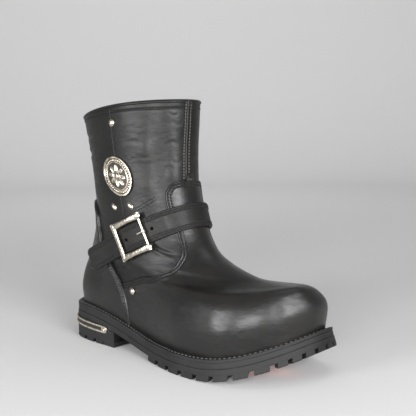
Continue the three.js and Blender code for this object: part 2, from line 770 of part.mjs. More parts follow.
function strapRings() {
  const from = THREE.MathUtils.degToRad(STRAP_FROM);
  const to = THREE.MathUtils.degToRad(STRAP_TO);
  const half = STRAP_WIDTH / 2;
  const tangent = strapPoint(from - STEP, 0, 0).sub(strapPoint(from + STEP, 0, 0)).normalize();
  const outward = new THREE.Vector3(0, -1, 0);
  const rings = TAIL.at.map((share, i) => {
    const along = share * TAIL.long;
    const at = (across, out) => strapPoint(from, across, out)
      .addScaledVector(tangent, along)
      .addScaledVector(outward, TAIL.curl * along * along);
    return strapSection(at, half * TAIL.half[i]);
  });
  for (let i = 0; i <= STRAP_STEPS; i += 1) {
    const theta = mix(from, to, i / STRAP_STEPS);
    rings.push(strapSection((across, out) => strapPoint(theta, across, out), half));
  }
  return rings;
}

function makeStrap() {
  const counter = sideCutter(counterOutline(CLEARANCE), 0, BALL_WIDTH);
  const band = toManifold(stackedRings(strapRings().reverse()));
  const vamp = leatherForm(VAMP_LEATHER + 2 * CLEARANCE, true).intersect(vampCutter(CLEARANCE));
  const solid = band.subtract(leatherForm(CLEARANCE, true)).subtract(vamp).subtract(counter);
  addPiece('strap', toGeometry(solid), LEATHER);
}

// Buckle: an open frame with a pin across its front side, and a prong on the pin
function buckleMatrix() {
  const theta = THREE.MathUtils.degToRad(BUCKLE.theta);
  const turn = THREE.MathUtils.degToRad(BUCKLE.seat);
  const half = STRAP_WIDTH / 2;
  const along = strapPoint(theta + turn, 0, 0).sub(strapPoint(theta - turn, 0, 0)).normalize();
  const up = strapPoint(theta, half, 0).sub(strapPoint(theta, -half, 0));
  up.addScaledVector(along, -up.dot(along)).normalize();
  const out = new THREE.Vector3().crossVectors(along, up);
  const at = strapPoint(theta, 0, STRAP_THICKNESS + CLEARANCE + BUCKLE_SEAT.lift);
  return new THREE.Matrix4().makeBasis(along, up, out).setPosition(at);
}

function placeOnStrap(geometry) {
  const position = geometry.attributes.position;
  for (let i = 0; i < position.count; i += 1) {
    const x = position.getX(i);
    position.setZ(i, position.getZ(i) - x * x / (2 * BUCKLE_SEAT.radius));
  }
  return geometry.applyMatrix4(buckleMatrix());
}

function makeBuckle() {
  const a = BUCKLE.long / 2;
  const b = BUCKLE.high / 2;
  const dip = 2 * BUCKLE.waist;
  const shape = new THREE.Shape();
  shape.moveTo(a, b);
  shape.quadraticCurveTo(0, b - dip, -a, b);
  shape.quadraticCurveTo(-a + dip, 0, -a, -b);
  shape.quadraticCurveTo(0, -b + dip, a, -b);
  shape.lineTo(a, -b + BUCKLE.bar);
  shape.lineTo(0, -b + BUCKLE.bar);
  shape.lineTo(-a + BUCKLE.bar, -b + BUCKLE.bar);
  shape.lineTo(-a + BUCKLE.bar, b - BUCKLE.bar);
  shape.lineTo(0, b - BUCKLE.bar);
  shape.lineTo(a, b - BUCKLE.bar);
  const flat = { depth: BUCKLE.thick, bevelEnabled: false, curveSegments: 6 };
  const frame = new THREE.ExtrudeGeometry(shape, flat);
  const reach = 2 * (b - BUCKLE.bar) + BUCKLE.bar;
  const pin = new THREE.CylinderGeometry(BUCKLE_PIN.radius, BUCKLE_PIN.radius, reach, ROUND);
  pin.translate(a - BUCKLE_PIN.inset, 0, BUCKLE.thick / 2);
  const whole = toGeometry(toManifold(frame).add(toManifold(pin)));
  addPiece('buckle_frame', placeOnStrap(whole), NICKEL);
}

function makeProng() {
  const hole = BUCKLE_PIN.radius + CLEARANCE;
  const half = PRONG.wide / 2;
  const profile = [[hole, -half], [PRONG.ring, -half], [PRONG.ring, half], [hole, half], [hole, -half]];
  const ring = new THREE.LatheGeometry(profile.map(([r, y]) => new THREE.Vector2(r, y)), ROUND);
  const tongue = new THREE.BoxGeometry(PRONG.long, PRONG.tip, PRONG.thick);
  tongue.translate(-(hole + PRONG.long / 2) - CLEARANCE, 0, 0);
  const whole = toGeometry(toManifold(ring).add(toManifold(tongue)));
  whole.translate(BUCKLE.long / 2 - BUCKLE_PIN.inset, 0, BUCKLE.thick / 2);
  addPiece('buckle_prong', placeOnStrap(whole), NICKEL);
}

// Wraps a flat piece, built around z, on the leather
function wrapOnLeather(geometry, degrees, row, lift) {
  const theta = THREE.MathUtils.degToRad(degrees);
  const around = skinPoint(theta + STEP, row).distanceTo(skinPoint(theta - STEP, row)) / (2 * STEP);
  const up = skinPoint(theta, row + STEP).distanceTo(skinPoint(theta, row - STEP)) / (2 * STEP);
  const position = geometry.attributes.position;
  for (let i = 0; i < position.count; i += 1) {
    const turn = theta + position.getX(i) / around;
    const p = leatherPoint(turn, row + position.getY(i) / up, lift + position.getZ(i));
    position.setXYZ(i, p.x, p.y, p.z);
  }
  return geometry;
}

function turned(profile, steps) {
  const geometry = new THREE.LatheGeometry(profile.map(([r, z]) => new THREE.Vector2(r, z)), steps);
  return geometry.rotateX(Math.PI / 2);
}

function makeBadge() {
  const { radius, rim, edge, height, dish } = BADGE;
  const profile = [
    [0, 0], [radius / 2, 0], [radius, 0], [radius, edge], [radius - rim / 2, height],
    [radius - rim, dish], [radius / 2, dish], [0, dish],
  ];
  const disc = turned(profile, BADGE_ROUND);
  addPiece('badge', wrapOnLeather(disc, BADGE.theta, BADGE.row, CLEARANCE), NICKEL);
}

function makeRivets() {
  const onVamp = VAMP_LEATHER + 4 * CLEARANCE;
  const { radius, dome, shoulder, crown } = RIVET;
  const profile = [
    [0, 0], [radius, 0], [radius * shoulder.out, dome * shoulder.up], [radius * crown.out, dome * crown.up],
    [0, dome],
  ];
  for (const [name, degrees, row, layer] of RIVETS) {
    const lift = layer === 'vamp' ? onVamp : CLEARANCE;
    addPiece(`rivet_${name}`, wrapOnLeather(turned(profile, ROUND), degrees, row, lift), NICKEL);
  }
}

// Plate on the lateral side of the heel, with a screw at each end
function platePoint(degrees, share, out) {
  const theta = THREE.MathUtils.degToRad(degrees);
  const z = mix(PLATE.low, PLATE.high, share) + PLATE.rise * (PLATE.to - degrees) / (PLATE.to - PLATE.from);
  const p = sidePoint(theta, LUG_DEPTH * z / (HEEL_LIFT + LUG_DEPTH), -CLEARANCE - out);
  return new THREE.Vector3(p.x, p.y, z);
}

function makeHeelPlate() {
  const rings = [];
  for (let i = 0; i <= ROUND; i += 1) {
    const degrees = mix(PLATE.from, PLATE.to, i / ROUND);
    rings.push([
      platePoint(degrees, 0, 0), platePoint(degrees, 0, PLATE.thick),
      platePoint(degrees, 1, PLATE.thick), platePoint(degrees, 1, 0),
    ]);
  }
  addPiece('heel_plate', stackedRings(rings.reverse()), NICKEL);
  const ends = [['rear', PLATE.from + PLATE_SCREW.inset], ['front', PLATE.to - PLATE_SCREW.inset / 2]];
  for (const [name, degrees] of ends) {
    const seat = platePoint(degrees, 0.5, PLATE.thick + CLEARANCE);
    const out = seat.clone().sub(platePoint(degrees, 0.5, 0)).normalize();
    const { crown, radius, height } = PLATE_SCREW;
    const head = new THREE.CylinderGeometry(crown, radius, height, ROUND);
    head.translate(0, height / 2, 0);
    const screw = addPiece(`plate_screw_${name}`, head, NICKEL);
    screw.quaternion.setFromUnitVectors(new THREE.Vector3(0, 1, 0), out);
    screw.position.copy(seat);
  }
}

makeOutsole();
makeHeel();
makeMidsole();
makeWelt();
makeInsole();
makeUpper();
makeVamp();
makeCounter();
makeStrap();
makeBuckle();
makeProng();
makeBadge();
makeRivets();
makeHeelPlate();
makeUnderside();
makeHeelUnderside();

boot.position.x = -REAR_LUG_MIDDLE;
const model = new THREE.Group();
model.add(boot);
model.updateMatrixWorld(true);
export default model;
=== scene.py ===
"""Motorcycle boot for the right foot: leather, metal trims and lugged rubber around the packed frame.
Lengths are in millimetres from the back of the sole; to_frame makes them metres in the frame's axes."""
import json
import math
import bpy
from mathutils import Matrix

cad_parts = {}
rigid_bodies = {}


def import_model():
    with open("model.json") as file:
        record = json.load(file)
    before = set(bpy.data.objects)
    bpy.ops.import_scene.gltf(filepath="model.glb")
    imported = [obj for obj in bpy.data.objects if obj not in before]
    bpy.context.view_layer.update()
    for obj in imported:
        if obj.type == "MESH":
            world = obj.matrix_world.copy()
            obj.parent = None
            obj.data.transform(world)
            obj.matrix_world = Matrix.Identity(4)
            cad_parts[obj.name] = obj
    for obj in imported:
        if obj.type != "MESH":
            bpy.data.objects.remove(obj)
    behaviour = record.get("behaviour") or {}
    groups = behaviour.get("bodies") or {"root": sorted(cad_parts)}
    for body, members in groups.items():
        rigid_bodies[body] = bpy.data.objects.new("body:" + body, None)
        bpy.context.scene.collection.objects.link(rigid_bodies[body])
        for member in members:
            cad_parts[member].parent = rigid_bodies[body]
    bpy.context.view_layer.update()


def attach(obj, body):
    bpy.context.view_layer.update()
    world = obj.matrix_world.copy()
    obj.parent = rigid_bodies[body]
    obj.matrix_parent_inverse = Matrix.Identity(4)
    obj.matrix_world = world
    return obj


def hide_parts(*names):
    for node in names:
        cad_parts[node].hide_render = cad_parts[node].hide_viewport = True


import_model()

from types import SimpleNamespace as Sizes

import bpy
import numpy as np
from mathutils import Matrix, Vector

# Sizes shared with the part
SOLE_LENGTH = 318
BALL_WIDTH = 120.4
UPPER_HEIGHT = 243
SHAFT_WIDTH = 100
SHAFT_SHIFT = 3
REAR_LUG_MIDDLE = 7
CLEARANCE = 0.3
LUG_DEPTH = 5
OUTSOLE = 6
MIDSOLE = 6
WELT = 3.2
STACK = LUG_DEPTH + OUTSOLE + MIDSOLE + WELT
HEEL_LIFT = 19.8
ARCH = (0.1, 0.52)
TOE_SPRING = 29
SPRING_START = 0.66
SPRING_POWER = 2.15
TOE_SKEW = 21.5
SKEW_START = 0.6
SIDE_FLARE = 1.2
TOE_FLARE = 4.2
FLARE_ZONE = (0.55, 0.85)
UPPER_WALL = 2.4
VAMP_LEATHER = 1.5
COUNTER_LEATHER = 2.6
SKIN_ROWS = (7, 10)
HEEL_LENGTH = 88
HEEL_LUG_DEPTH = 4.5
BREAST_HOLLOW = 7
LUG_ROOT = 0.8
LUG_REACH = BALL_WIDTH * 0.208
SIDE_LUG = Sizes(count=8, width=SOLE_LENGTH * 0.0459, pitch=SOLE_LENGTH * 0.0616, waist=0.72, inner=0.84,
                 reach=LUG_REACH)
TOE_LUG = Sizes(count=7, share=0.68, waist=0.8, inner=0.5, reach=BALL_WIDTH * 0.2)
HEEL_LUG = Sizes(pairs=5, width=13.2, pitch=17.6, waist=0.72, inner=0.84, reach=15)
HEEL_CORNER = Sizes(width=17, waist=1, inner=1, reach=LUG_REACH)
FIRST_LUG = SOLE_LENGTH * 0.472
WAIST_RIB = Sizes(count=3, start=SOLE_LENGTH * 0.321, pitch=SOLE_LENGTH * 0.041, long=BALL_WIDTH * 0.141,
                  wide=4, height=2, slope=0.75, edge=5)
STRAP_WIDTH = 26
STRAP_THICKNESS = 3.2
STRAP_SLOPE = math.radians(24)
STRAP_POINT = (130, 127.5)
STRAP_FROM = 66
STRAP_TO = 316
STRAP_RISE = (124, 142)
TAIL = Sizes(long=38, curl=0.0024)
BUCKLE = Sizes(theta=98, seat=16, long=41, high=40, bar=6, thick=3.6, radius=110, lift=1.3)
PIN_INSET = 2.2
BADGE = Sizes(theta=97.5, row=11.5, radius=19.8, height=2.6, dish=1.5)
RIVET = Sizes(radius=3.7, dome=2.1)
PLATE = Sizes(start=13, end=59, low=13.8, high=21.6, rise=3, thick=1.5)


def table(columns, rows):
    return {name: np.array([row[k] for row in rows], float) for k, name in enumerate(columns)}


OUTLINE = table(("at", "lateral", "medial"), [
    (0, 0, 0), (0.016, 0.184, 0.184), (0.048, 0.284, 0.284), (0.095, 0.327, 0.327),
    (0.16, 0.346, 0.341), (0.25, 0.347, 0.326), (0.35, 0.355, 0.307), (0.445, 0.389, 0.313),
    (0.54, 0.445, 0.376), (0.605, 0.481, 0.434), (0.67, 0.497, 0.48), (0.73, 0.505, 0.504),
    (0.795, 0.502, 0.515), (0.84, 0.471, 0.5), (0.89, 0.411, 0.455), (0.927, 0.34, 0.4),
    (0.96, 0.254, 0.325), (0.984, 0.15, 0.225), (1, 0, 0),
])
RINGS = table(
    ("back", "back_rise", "front", "front_rise", "half", "egg", "sag", "foot", "follow", "bend"), [
        (0.028, 0, 0.972, 0, 0.424, 0, 0, 1, 1, 1),
        (0.025, 0.082, 0.978, 0.093, 0.44, 0, 0, 1, 0.9, 1),
        (0.035, 0.156, 0.962, 0.153, 0.422, 0.1, 0, 0.9, 0.7, 1.2),
        (0.053, 0.226, 0.937, 0.198, 0.41, 0.3, -0.016, 0.6, 0.4, 1.6),
        (0.072, 0.288, 0.89, 0.225, 0.414, 0.45, -0.029, 0.25, 0.1, 2),
        (0.085, 0.337, 0.824, 0.256, 0.425, 0.45, -0.016, 0, 0, 2),
        (0.094, 0.383, 0.752, 0.29, 0.425, 0.38, -0.008, 0, 0, 1.9),
        (0.097, 0.424, 0.679, 0.325, 0.435, 0.3, -0.004, 0, 0, 1.8),
        (0.101, 0.465, 0.623, 0.357, 0.445, 0.22, 0, 0, 0, 1.6),
        (0.101, 0.506, 0.577, 0.413, 0.45, 0.14, 0, 0, 0, 1.4),
        (0.097, 0.56, 0.544, 0.501, 0.46, 0.08, 0, 0, 0, 1.2),
        (0.09, 0.621, 0.522, 0.6, 0.465, 0.04, 0, 0, 0, 1),
        (0.08, 0.683, 0.516, 0.699, 0.47, 0.02, 0.004, 0, 0, 1),
        (0.069, 0.745, 0.516, 0.802, 0.48, 0, 0.008, 0, 0, 1),
        (0.057, 0.798, 0.522, 0.9, 0.49, 0, 0.012, 0, 0, 1),
        (0.047, 0.848, 0.528, 0.999, 0.5, 0, 0.016, 0, 0, 1),
    ])
TOP_ROW = len(RINGS["back"]) - 1
COUNTER_EDGE = [
    (0.343, 0.08), (0.342, 0.152), (0.336, 0.205), (0.32, 0.263), (0.294, 0.312), (0.252, 0.378),
    (0.218, 0.45), (0.198, 0.53), (0.178, 0.61), (0.14, 0.648), (0.09, 0.66),
]
VAMP_EDGE = [
    (0.308, 0.296), (0.38, 0.326), (0.457, 0.35), (0.518, 0.382), (0.547, 0.416), (0.55, 0.459),
    (0.532, 0.514), (0.508, 0.584), (0.491, 0.644), (0.485, 0.704), (0.494, 0.735),
    (0.511, 0.748), (0.56, 0.755),
]
# Steps of a difference and of a shifted curve, and halvings in a search
STEP = 1e-3
SHIFT_STEP = 0.5
HALVINGS = 30
# Stitches: their rows' distances from an edge, and their own sizes
STITCH_ROWS = (2.6, 5.4)
STITCH_DEPTH = 0.3
STITCH_SINK = 0.15
STITCH = Sizes(pitch=3.1, long=2.3, radius=0.62)
WELT_STITCH = Sizes(pitch=4.9, long=3.3, radius=0.55)
STITCH_PROFILE = np.array([(-0.5, 0.25), (-0.32, 0.85), (0, 1), (0.32, 0.85), (0.5, 0.25)])
# Degrees between two faces above which their edge looks sharp
LEATHER_EDGE = 60
METAL_EDGE = 50
DOME_EDGE = 70
RUBBER_EDGE = 40


def mix(a, b, share):
    return a + (b - a) * share


def smooth(start, end, x):
    t = np.clip((x - start) / (end - start), 0, 1)
    return t * t * (3 - 2 * t)


def spline(xs, ys, x):
    """Smooth curve through the points (xs, ys), the same one as the part's."""
    xs, ys, x = np.asarray(xs, float), np.asarray(ys, float), np.asarray(x, float)
    i = np.clip(np.searchsorted(xs, x) - 1, 0, len(xs) - 2)
    h = np.diff(xs)
    slope = np.diff(ys) / h
    tangent = np.concatenate([
        slope[:1], (slope[:-1] * h[1:] + slope[1:] * h[:-1]) / (h[:-1] + h[1:]), slope[-1:]])
    t = (x - xs[i]) / h[i]
    s = 1 - t
    return ((1 + 2 * t) * s * s * ys[i] + t * s * s * h[i] * tangent[i]
            + t * t * (3 - 2 * t) * ys[i + 1] - t * t * s * h[i] * tangent[i + 1])


def together(*values):
    return np.broadcast_arrays(*[np.asarray(value, float) for value in values])


def hump(x, middle, width, power=2):
    return np.exp(-((x - middle) / width) ** power)


def round_off(distance, radius):
    """Quarter circle: 0 at an edge and 1 from the radius on."""
    return np.sqrt(np.clip(1 - (1 - np.clip(distance / radius, 0, 1)) ** 2, 0, 1))


def boxy(wave, power):
    return np.sign(wave) * np.abs(wave) ** power


def unit(v):
    return v / np.maximum(np.linalg.norm(v, axis=-1, keepdims=True), 1e-9)


def lengths(path):
    """Length of a path up to each of its points."""
    return np.concatenate([[0], np.cumsum(np.linalg.norm(np.diff(path, axis=0), axis=1))])


def circle(count):
    return np.linspace(0, 2 * np.pi, count, endpoint=False)


def circle_points(centre, radius, first, second, count):
    """Circle in the plane of two directions."""
    turn = circle(count)
    return centre + radius * (np.outer(np.cos(turn), first) + np.outer(np.sin(turn), second))


def turned(profile, count):
    """Rings around z at pairs of a radius and a height."""
    x, y = np.cos(circle(count)), np.sin(circle(count))
    return np.array([path_of(radius * x, radius * y, height) for radius, height in profile])


def path_of(x, y, z):
    return np.column_stack(np.broadcast_arrays(x, y, z))


# Sole
OUTLINE_TURN = np.arccos(1 - 2 * OUTLINE["at"])


def foot_side(theta):
    theta = np.mod(theta, 2 * np.pi)
    lateral = theta <= np.pi
    turn = np.where(lateral, theta, 2 * np.pi - theta)
    side = np.where(lateral, spline(OUTLINE_TURN, OUTLINE["lateral"], turn),
                    spline(OUTLINE_TURN, OUTLINE["medial"], turn))
    return np.where(lateral, -side, side)


def toe_skew(x):
    share = np.maximum(x / SOLE_LENGTH - SKEW_START, 0) / (1 - SKEW_START)
    return TOE_SKEW * share ** 2


def edge_point(theta):
    x = SOLE_LENGTH * (1 - np.cos(theta)) / 2
    return np.stack([x, BALL_WIDTH * foot_side(theta) + toe_skew(x)], -1)


def outline_point(theta, inset):
    along = edge_point(theta + STEP) - edge_point(theta - STEP)
    along = along / np.linalg.norm(along, axis=-1, keepdims=True)
    normal = np.stack([-along[..., 1], along[..., 0]], -1)
    return edge_point(theta) + normal * np.asarray(inset)[..., None]


def ground_height(x):
    share = x / SOLE_LENGTH
    spring = np.maximum(share - SPRING_START, 0) / (1 - SPRING_START)
    return TOE_SPRING * spring ** SPRING_POWER + HEEL_LIFT * (1 - smooth(*ARCH, share))


def sole_top(x):
    return ground_height(x) + STACK


def flare(x):
    return mix(SIDE_FLARE, TOE_FLARE, smooth(*FLARE_ZONE, x / SOLE_LENGTH))


def side_point(theta, height, step=0.0):
    theta = np.asarray(theta, float)
    inset = flare(edge_point(theta)[..., 0]) * height / STACK + step
    p = outline_point(theta, inset)
    return np.stack([p[..., 0], p[..., 1], ground_height(p[..., 0]) + height], -1)


ARC_THETA = np.linspace(0, 2 * np.pi, 1441)
ARC_LENGTH = lengths(edge_point(ARC_THETA))
ARC_TOTAL = ARC_LENGTH[-1]


def theta_at_arc(arc):
    return np.interp(np.mod(arc, ARC_TOTAL), ARC_LENGTH, ARC_THETA)


def arc_at_theta(theta):
    return np.interp(theta, ARC_THETA, ARC_LENGTH)


def theta_at_x(x):
    return math.acos(1 - 2 * x / SOLE_LENGTH)


# Leather: the upper's skin at an angle around and a ring number
def skin(theta, row):
    theta, row = together(theta, row)
    ring = {name: spline(np.arange(TOP_ROW + 1), RINGS[name], row) for name in RINGS}
    share = (1 - np.cos(theta)) / 2
    back = ring["back"] * SOLE_LENGTH
    front = ring["front"] * SOLE_LENGTH
    x = mix(back, front, share)
    half = ring["half"] * mix(SHAFT_WIDTH, BALL_WIDTH, ring["foot"])
    oval = SHAFT_SHIFT - half * np.sin(theta) * (1 + ring["egg"] * np.cos(theta))
    last = 2 * half * foot_side(theta) + toe_skew(x)
    back_z = sole_top(back) + ring["back_rise"] * UPPER_HEIGHT
    front_z = sole_top(front) + ring["front_rise"] * UPPER_HEIGHT
    back_over = back_z - ring["follow"] * sole_top(back)
    front_over = front_z - ring["follow"] * sole_top(front)
    hollow = np.maximum(1 - share, 0) ** ring["bend"]
    z = (ring["follow"] * sole_top(x) + mix(front_over, back_over, hollow)
         + ring["sag"] * UPPER_HEIGHT * np.sin(theta) ** 2)
    return np.stack([x, mix(oval, last, ring["foot"]), z], -1)


def skin_axes(theta, row):
    """Steps of the skin for a radian around and for a ring up."""
    low = np.maximum(np.asarray(row, float) - STEP, 0)
    high = np.minimum(np.asarray(row, float) + STEP, TOP_ROW)
    around = (skin(theta + STEP, row) - skin(theta - STEP, row)) / (2 * STEP)
    up = (skin(theta, high) - skin(theta, low)) / (high - low)[..., None]
    return around, up


def skin_normal(theta, row):
    around, up = skin_axes(theta, row)
    return unit(np.cross(around, up))


# Creases and soft dents: three places as degrees around and ring, then width and depth in mm.
# A negative depth is a ridge. Each has a low swell on both sides, in widths of the crease.
CREASE_SWELL = Sizes(height=0.4, at=1.9, width=0.9)
CREASE_REACH = 4
CREASE_POINTS = 41
CREASE_COLUMNS = ("a1", "r1", "a2", "r2", "a3", "r3", "width", "depth")
CREASES = table(CREASE_COLUMNS, [
    # Shaft, outer front: wavy folds and the soft swells between them
    (109, 13.05, 118, 13.2, 127, 13.1, 1.7, 0.42),
    (119, 12.62, 127, 12.5, 135, 12.66, 1.5, 0.34),
    (112, 12.3, 119, 12.45, 124, 12.3, 1.4, 0.3),
    (150, 13.1, 157, 13.25, 163, 13.12, 1.5, 0.36),
    (156, 12.5, 162, 12.38, 169, 12.52, 1.4, 0.34),
    (147, 12.1, 153, 12.2, 158, 12.05, 1.3, 0.26),
    (118, 10.5, 124, 10.35, 129, 10.2, 1.5, 0.45),
    (121, 10.1, 126, 10.0, 131, 9.9, 1.4, 0.4),
    (152, 14.5, 158, 14.38, 163, 14.46, 1.4, 0.26),
    (158, 14.12, 163, 14.0, 170, 14.1, 1.4, 0.3),
    (116, 13.9, 124, 13.8, 131, 13.95, 1.5, 0.22),
    (118, 12.85, 127, 12.8, 136, 12.9, 8.0, -0.5),
    (148, 11.95, 159, 11.9, 169, 12.1, 8.0, -0.5),
    (117, 11.35, 126, 11.2, 136, 11.45, 8.0, -0.5),
    (141, 13.9, 146, 12.4, 142, 11.0, 8.0, 0.7),
    # Shaft, back and inner side
    (20, 12.6, 40, 12.3, 58, 12.5, 2.6, 0.8),
    (30, 13.6, 48, 13.4, 66, 13.6, 2.4, 0.6),
    (345, 12.9, 330, 12.6, 312, 12.8, 2.6, 0.8),
    (335, 11.8, 315, 11.5, 296, 11.9, 2.6, 0.8),
    (262, 13.3, 245, 13.0, 228, 13.2, 2.4, 0.8),
    (255, 12.2, 236, 11.9, 218, 12.1, 2.4, 0.8),
    (290, 10.6, 270, 10.3, 250, 10.6, 2.2, 0.8),
    # Quarter and instep
    (112, 8.5, 119, 8.0, 131, 7.9, 2.0, 0.7),
    (246, 8.3, 238, 7.9, 226, 7.8, 2.0, 0.7),
    (70, 5.2, 67, 3.8, 66, 2.6, 2.4, 0.5),
    # Toe box: soft dents
    (154, 2.0, 152, 1.5, 150, 1.1, 6.0, 0.35),
    (128, 1.7, 127.3, 1.4, 127, 1.1, 6.5, 0.3),
    (206, 2.0, 208, 1.5, 211, 1.1, 6.0, 0.3),
])


def bend_points(row):
    """Points along a crease and how deep it is at each."""
    angles = np.radians([row["a1"], row["a2"], row["a3"]])
    rings = np.array([row["r1"], row["r2"], row["r3"]])
    s = np.linspace(0, 1, CREASE_POINTS)
    weights = np.stack([2 * (s - 0.5) * (s - 1), 4 * s * (1 - s), 2 * s * (s - 0.5)], -1)
    return skin(weights @ angles, weights @ rings), np.sin(np.pi * np.clip(s, 0.02, 0.98)) ** 0.6


def relief(points):
    """How far the creases move points of the skin, along its normal."""
    flat = points.reshape(-1, 3).astype(np.float32)
    out = np.zeros(len(flat), np.float32)
    for k in range(len(CREASES["a1"])):
        row = {name: CREASES[name][k] for name in CREASES}
        path, fade = bend_points(row)
        path = path.astype(np.float32)
        reach = CREASE_REACH * row["width"]
        near = np.all((flat > path.min(0) - reach) & (flat < path.max(0) + reach), axis=1)
        if not near.any():
            continue
        distance = np.linalg.norm(flat[near][:, None] - path[None], axis=2)
        closest = distance.argmin(1)
        d = distance[np.arange(len(distance)), closest] / row["width"]
        swell = CREASE_SWELL.height * hump(d, CREASE_SWELL.at, CREASE_SWELL.width)
        out[near] += row["depth"] * fade[closest] * (swell - hump(d, 0, 1))
    return out.reshape(points.shape[:-1])


def leather(theta, row, out):
    """The leather's surface; the foot's part lies one layer deeper, under the vamp and the counter."""
    theta, row = together(theta, row)
    p = skin(theta, row)
    step = (VAMP_LEATHER + CLEARANCE) * (1 - smooth(*SKIN_ROWS, row))
    move = np.asarray(out) - step + relief(p)
    return p + skin_normal(theta, row) * move[..., None]


def on_leather(curve, out):
    return leather(curve[:, 0], curve[:, 1], out), skin_normal(curve[:, 0], curve[:, 1])


# Meshes
def to_frame(points):
    points = np.asarray(points, float).reshape(-1, 3)
    return (points - (REAR_LUG_MIDDLE, 0, 0)) / 1000


def link_object(name, data):
    made = bpy.data.objects.new(name, data)
    bpy.context.scene.collection.objects.link(made)
    return made


def make_object(name, points, faces, material):
    mesh = bpy.data.meshes.new(name)
    mesh.from_pydata(points.tolist(), [], faces)
    mesh.update()
    mesh.polygons.foreach_set("use_smooth", [True] * len(mesh.polygons))
    mesh.materials.append(material)
    return link_object(name, mesh)


def make_piece(name, points, faces, material, slot, nodes=(), sharp=None):
    piece = make_object(name, to_frame(points), faces, material)
    if sharp:
        piece.data.set_sharp_from_angle(angle=math.radians(sharp))
    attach(piece, "root")
    if nodes:
        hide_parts(*nodes)
    return piece


def paint_faces(piece, material, points_chosen):
    """Gives a second material to the faces whose points are all chosen."""
    piece.data.materials.append(material)
    piece.data.polygons.foreach_set("material_index", [
        int(all(points_chosen[list(face.vertices)])) for face in piece.data.polygons])


class Parts:
    """Collects meshes that make one piece."""

    def __init__(self, bodies=()):
        self.points = []
        self.faces = []
        self.count = 0
        for body in bodies:
            self.add(*body)

    def add(self, points, faces):
        points = np.asarray(points, float).reshape(-1, 3)
        self.points.append(points)
        self.faces += [tuple(int(i) + self.count for i in face) for face in faces]
        self.count += len(points)

    def piece(self, name, *look):
        make_piece(name, np.concatenate(self.points), self.faces, *look)


def grid_faces(rows, columns, wrap_rows, wrap_columns):
    i = np.arange(rows if wrap_rows else rows - 1)
    j = np.arange(columns if wrap_columns else columns - 1)
    i, j = np.meshgrid(i, j, indexing="ij")
    down, right = (i + 1) % rows, (j + 1) % columns
    quads = np.stack([i * columns + j, i * columns + right, down * columns + right, down * columns + j], -1)
    return quads.reshape(-1, 4).tolist()


def loft(rings):
    """Closed body between the first and the last of a list of rings."""
    rings = np.asarray(rings)
    rows, columns = rings.shape[:2]
    faces = grid_faces(rows, columns, False, True)
    faces.append(list(range(columns))[::-1])
    faces.append([(rows - 1) * columns + k for k in range(columns)])
    return rings.reshape(-1, 3), faces


def tube(path, radii, sides):
    """Round bar along a path, closed at its ends."""
    along = unit(np.gradient(path, axis=0))
    side = unit(np.cross(along, (0.13, 0.21, 0.97)))
    up = np.cross(side, along)
    radii = np.broadcast_to(radii, len(path))
    return loft([circle_points(*ring, sides) for ring in zip(path, radii, side, up)])


def stitches(parts, path, normals, size=STITCH):
    """Stitches along a path that lies on the leather."""
    length = lengths(path)
    count = max(int(round(length[-1] / size.pitch)), 1)

    def pick(values, s):
        return np.stack([np.interp(s, length, values[:, k]) for k in range(3)], -1)

    for s in (np.arange(count) + 0.5) * length[-1] / count:
        normal = unit(pick(normals, s))
        ahead = unit(pick(path, s + size.long / 2) - pick(path, s - size.long / 2))
        side = np.cross(normal, ahead)
        rings = []
        for share, swell in STITCH_PROFILE:
            radius = size.radius * swell
            middle = pick(path, s) + ahead * share * size.long + normal * (radius * 0.7 - STITCH_SINK)
            rings.append(circle_points(middle, radius, side, normal, 6))
        parts.add(*loft(rings))


# Materials
def nodes_of(name):
    material = bpy.data.materials.new(name)
    material.use_nodes = True
    tree = material.node_tree
    return material, tree, tree.nodes["Principled BSDF"]


def set_values(made, values):
    for name, value in values.items():
        made.inputs[name].default_value = value


def add_node(tree, kind, output, links, values):
    """Adds a shader node and gives one of its outputs."""
    made = tree.nodes.new("ShaderNode" + kind)
    set_values(made, values)
    for name, source in links.items():
        tree.links.new(source, made.inputs[name])
    return made.outputs[output]


def object_coordinates(tree, stretch=(1, 1, 1)):
    place = add_node(tree, "TexCoord", "Object", {}, {})
    return add_node(tree, "Mapping", "Vector", {"Vector": place}, {"Scale": stretch})


def noise(tree, where, scale, detail=3.0, rough=0.55):
    values = {"Scale": scale, "Detail": detail, "Roughness": rough}
    return add_node(tree, "TexNoise", "Fac", {"Vector": where}, values)


def vary_roughness(tree, shader, value, low, high):
    values = {"From Min": 0.3, "From Max": 0.7, "To Min": low, "To Max": high}
    rough = add_node(tree, "MapRange", "Result", {"Value": value}, values)
    tree.links.new(rough, shader.inputs["Roughness"])


def vary_color(tree, shader, value, dark, light):
    ramp = tree.nodes.new("ShaderNodeValToRGB")
    for stop, position, color in zip(ramp.color_ramp.elements, (0.35, 0.65), (dark, light)):
        stop.position = position
        stop.color = (*color, 1)
    tree.links.new(value, ramp.inputs["Fac"])
    tree.links.new(ramp.outputs["Color"], shader.inputs["Base Color"])


def bump(tree, shader, layers):
    """Adds bump layers, each a height, a strength and a depth in mm."""
    links = {}
    for height, strength, depth in layers:
        values = {"Strength": strength, "Distance": depth / 1000}
        links = {"Normal": add_node(tree, "Bump", "Normal", {"Height": height, **links}, values)}
    tree.links.new(links["Normal"], shader.inputs["Normal"])


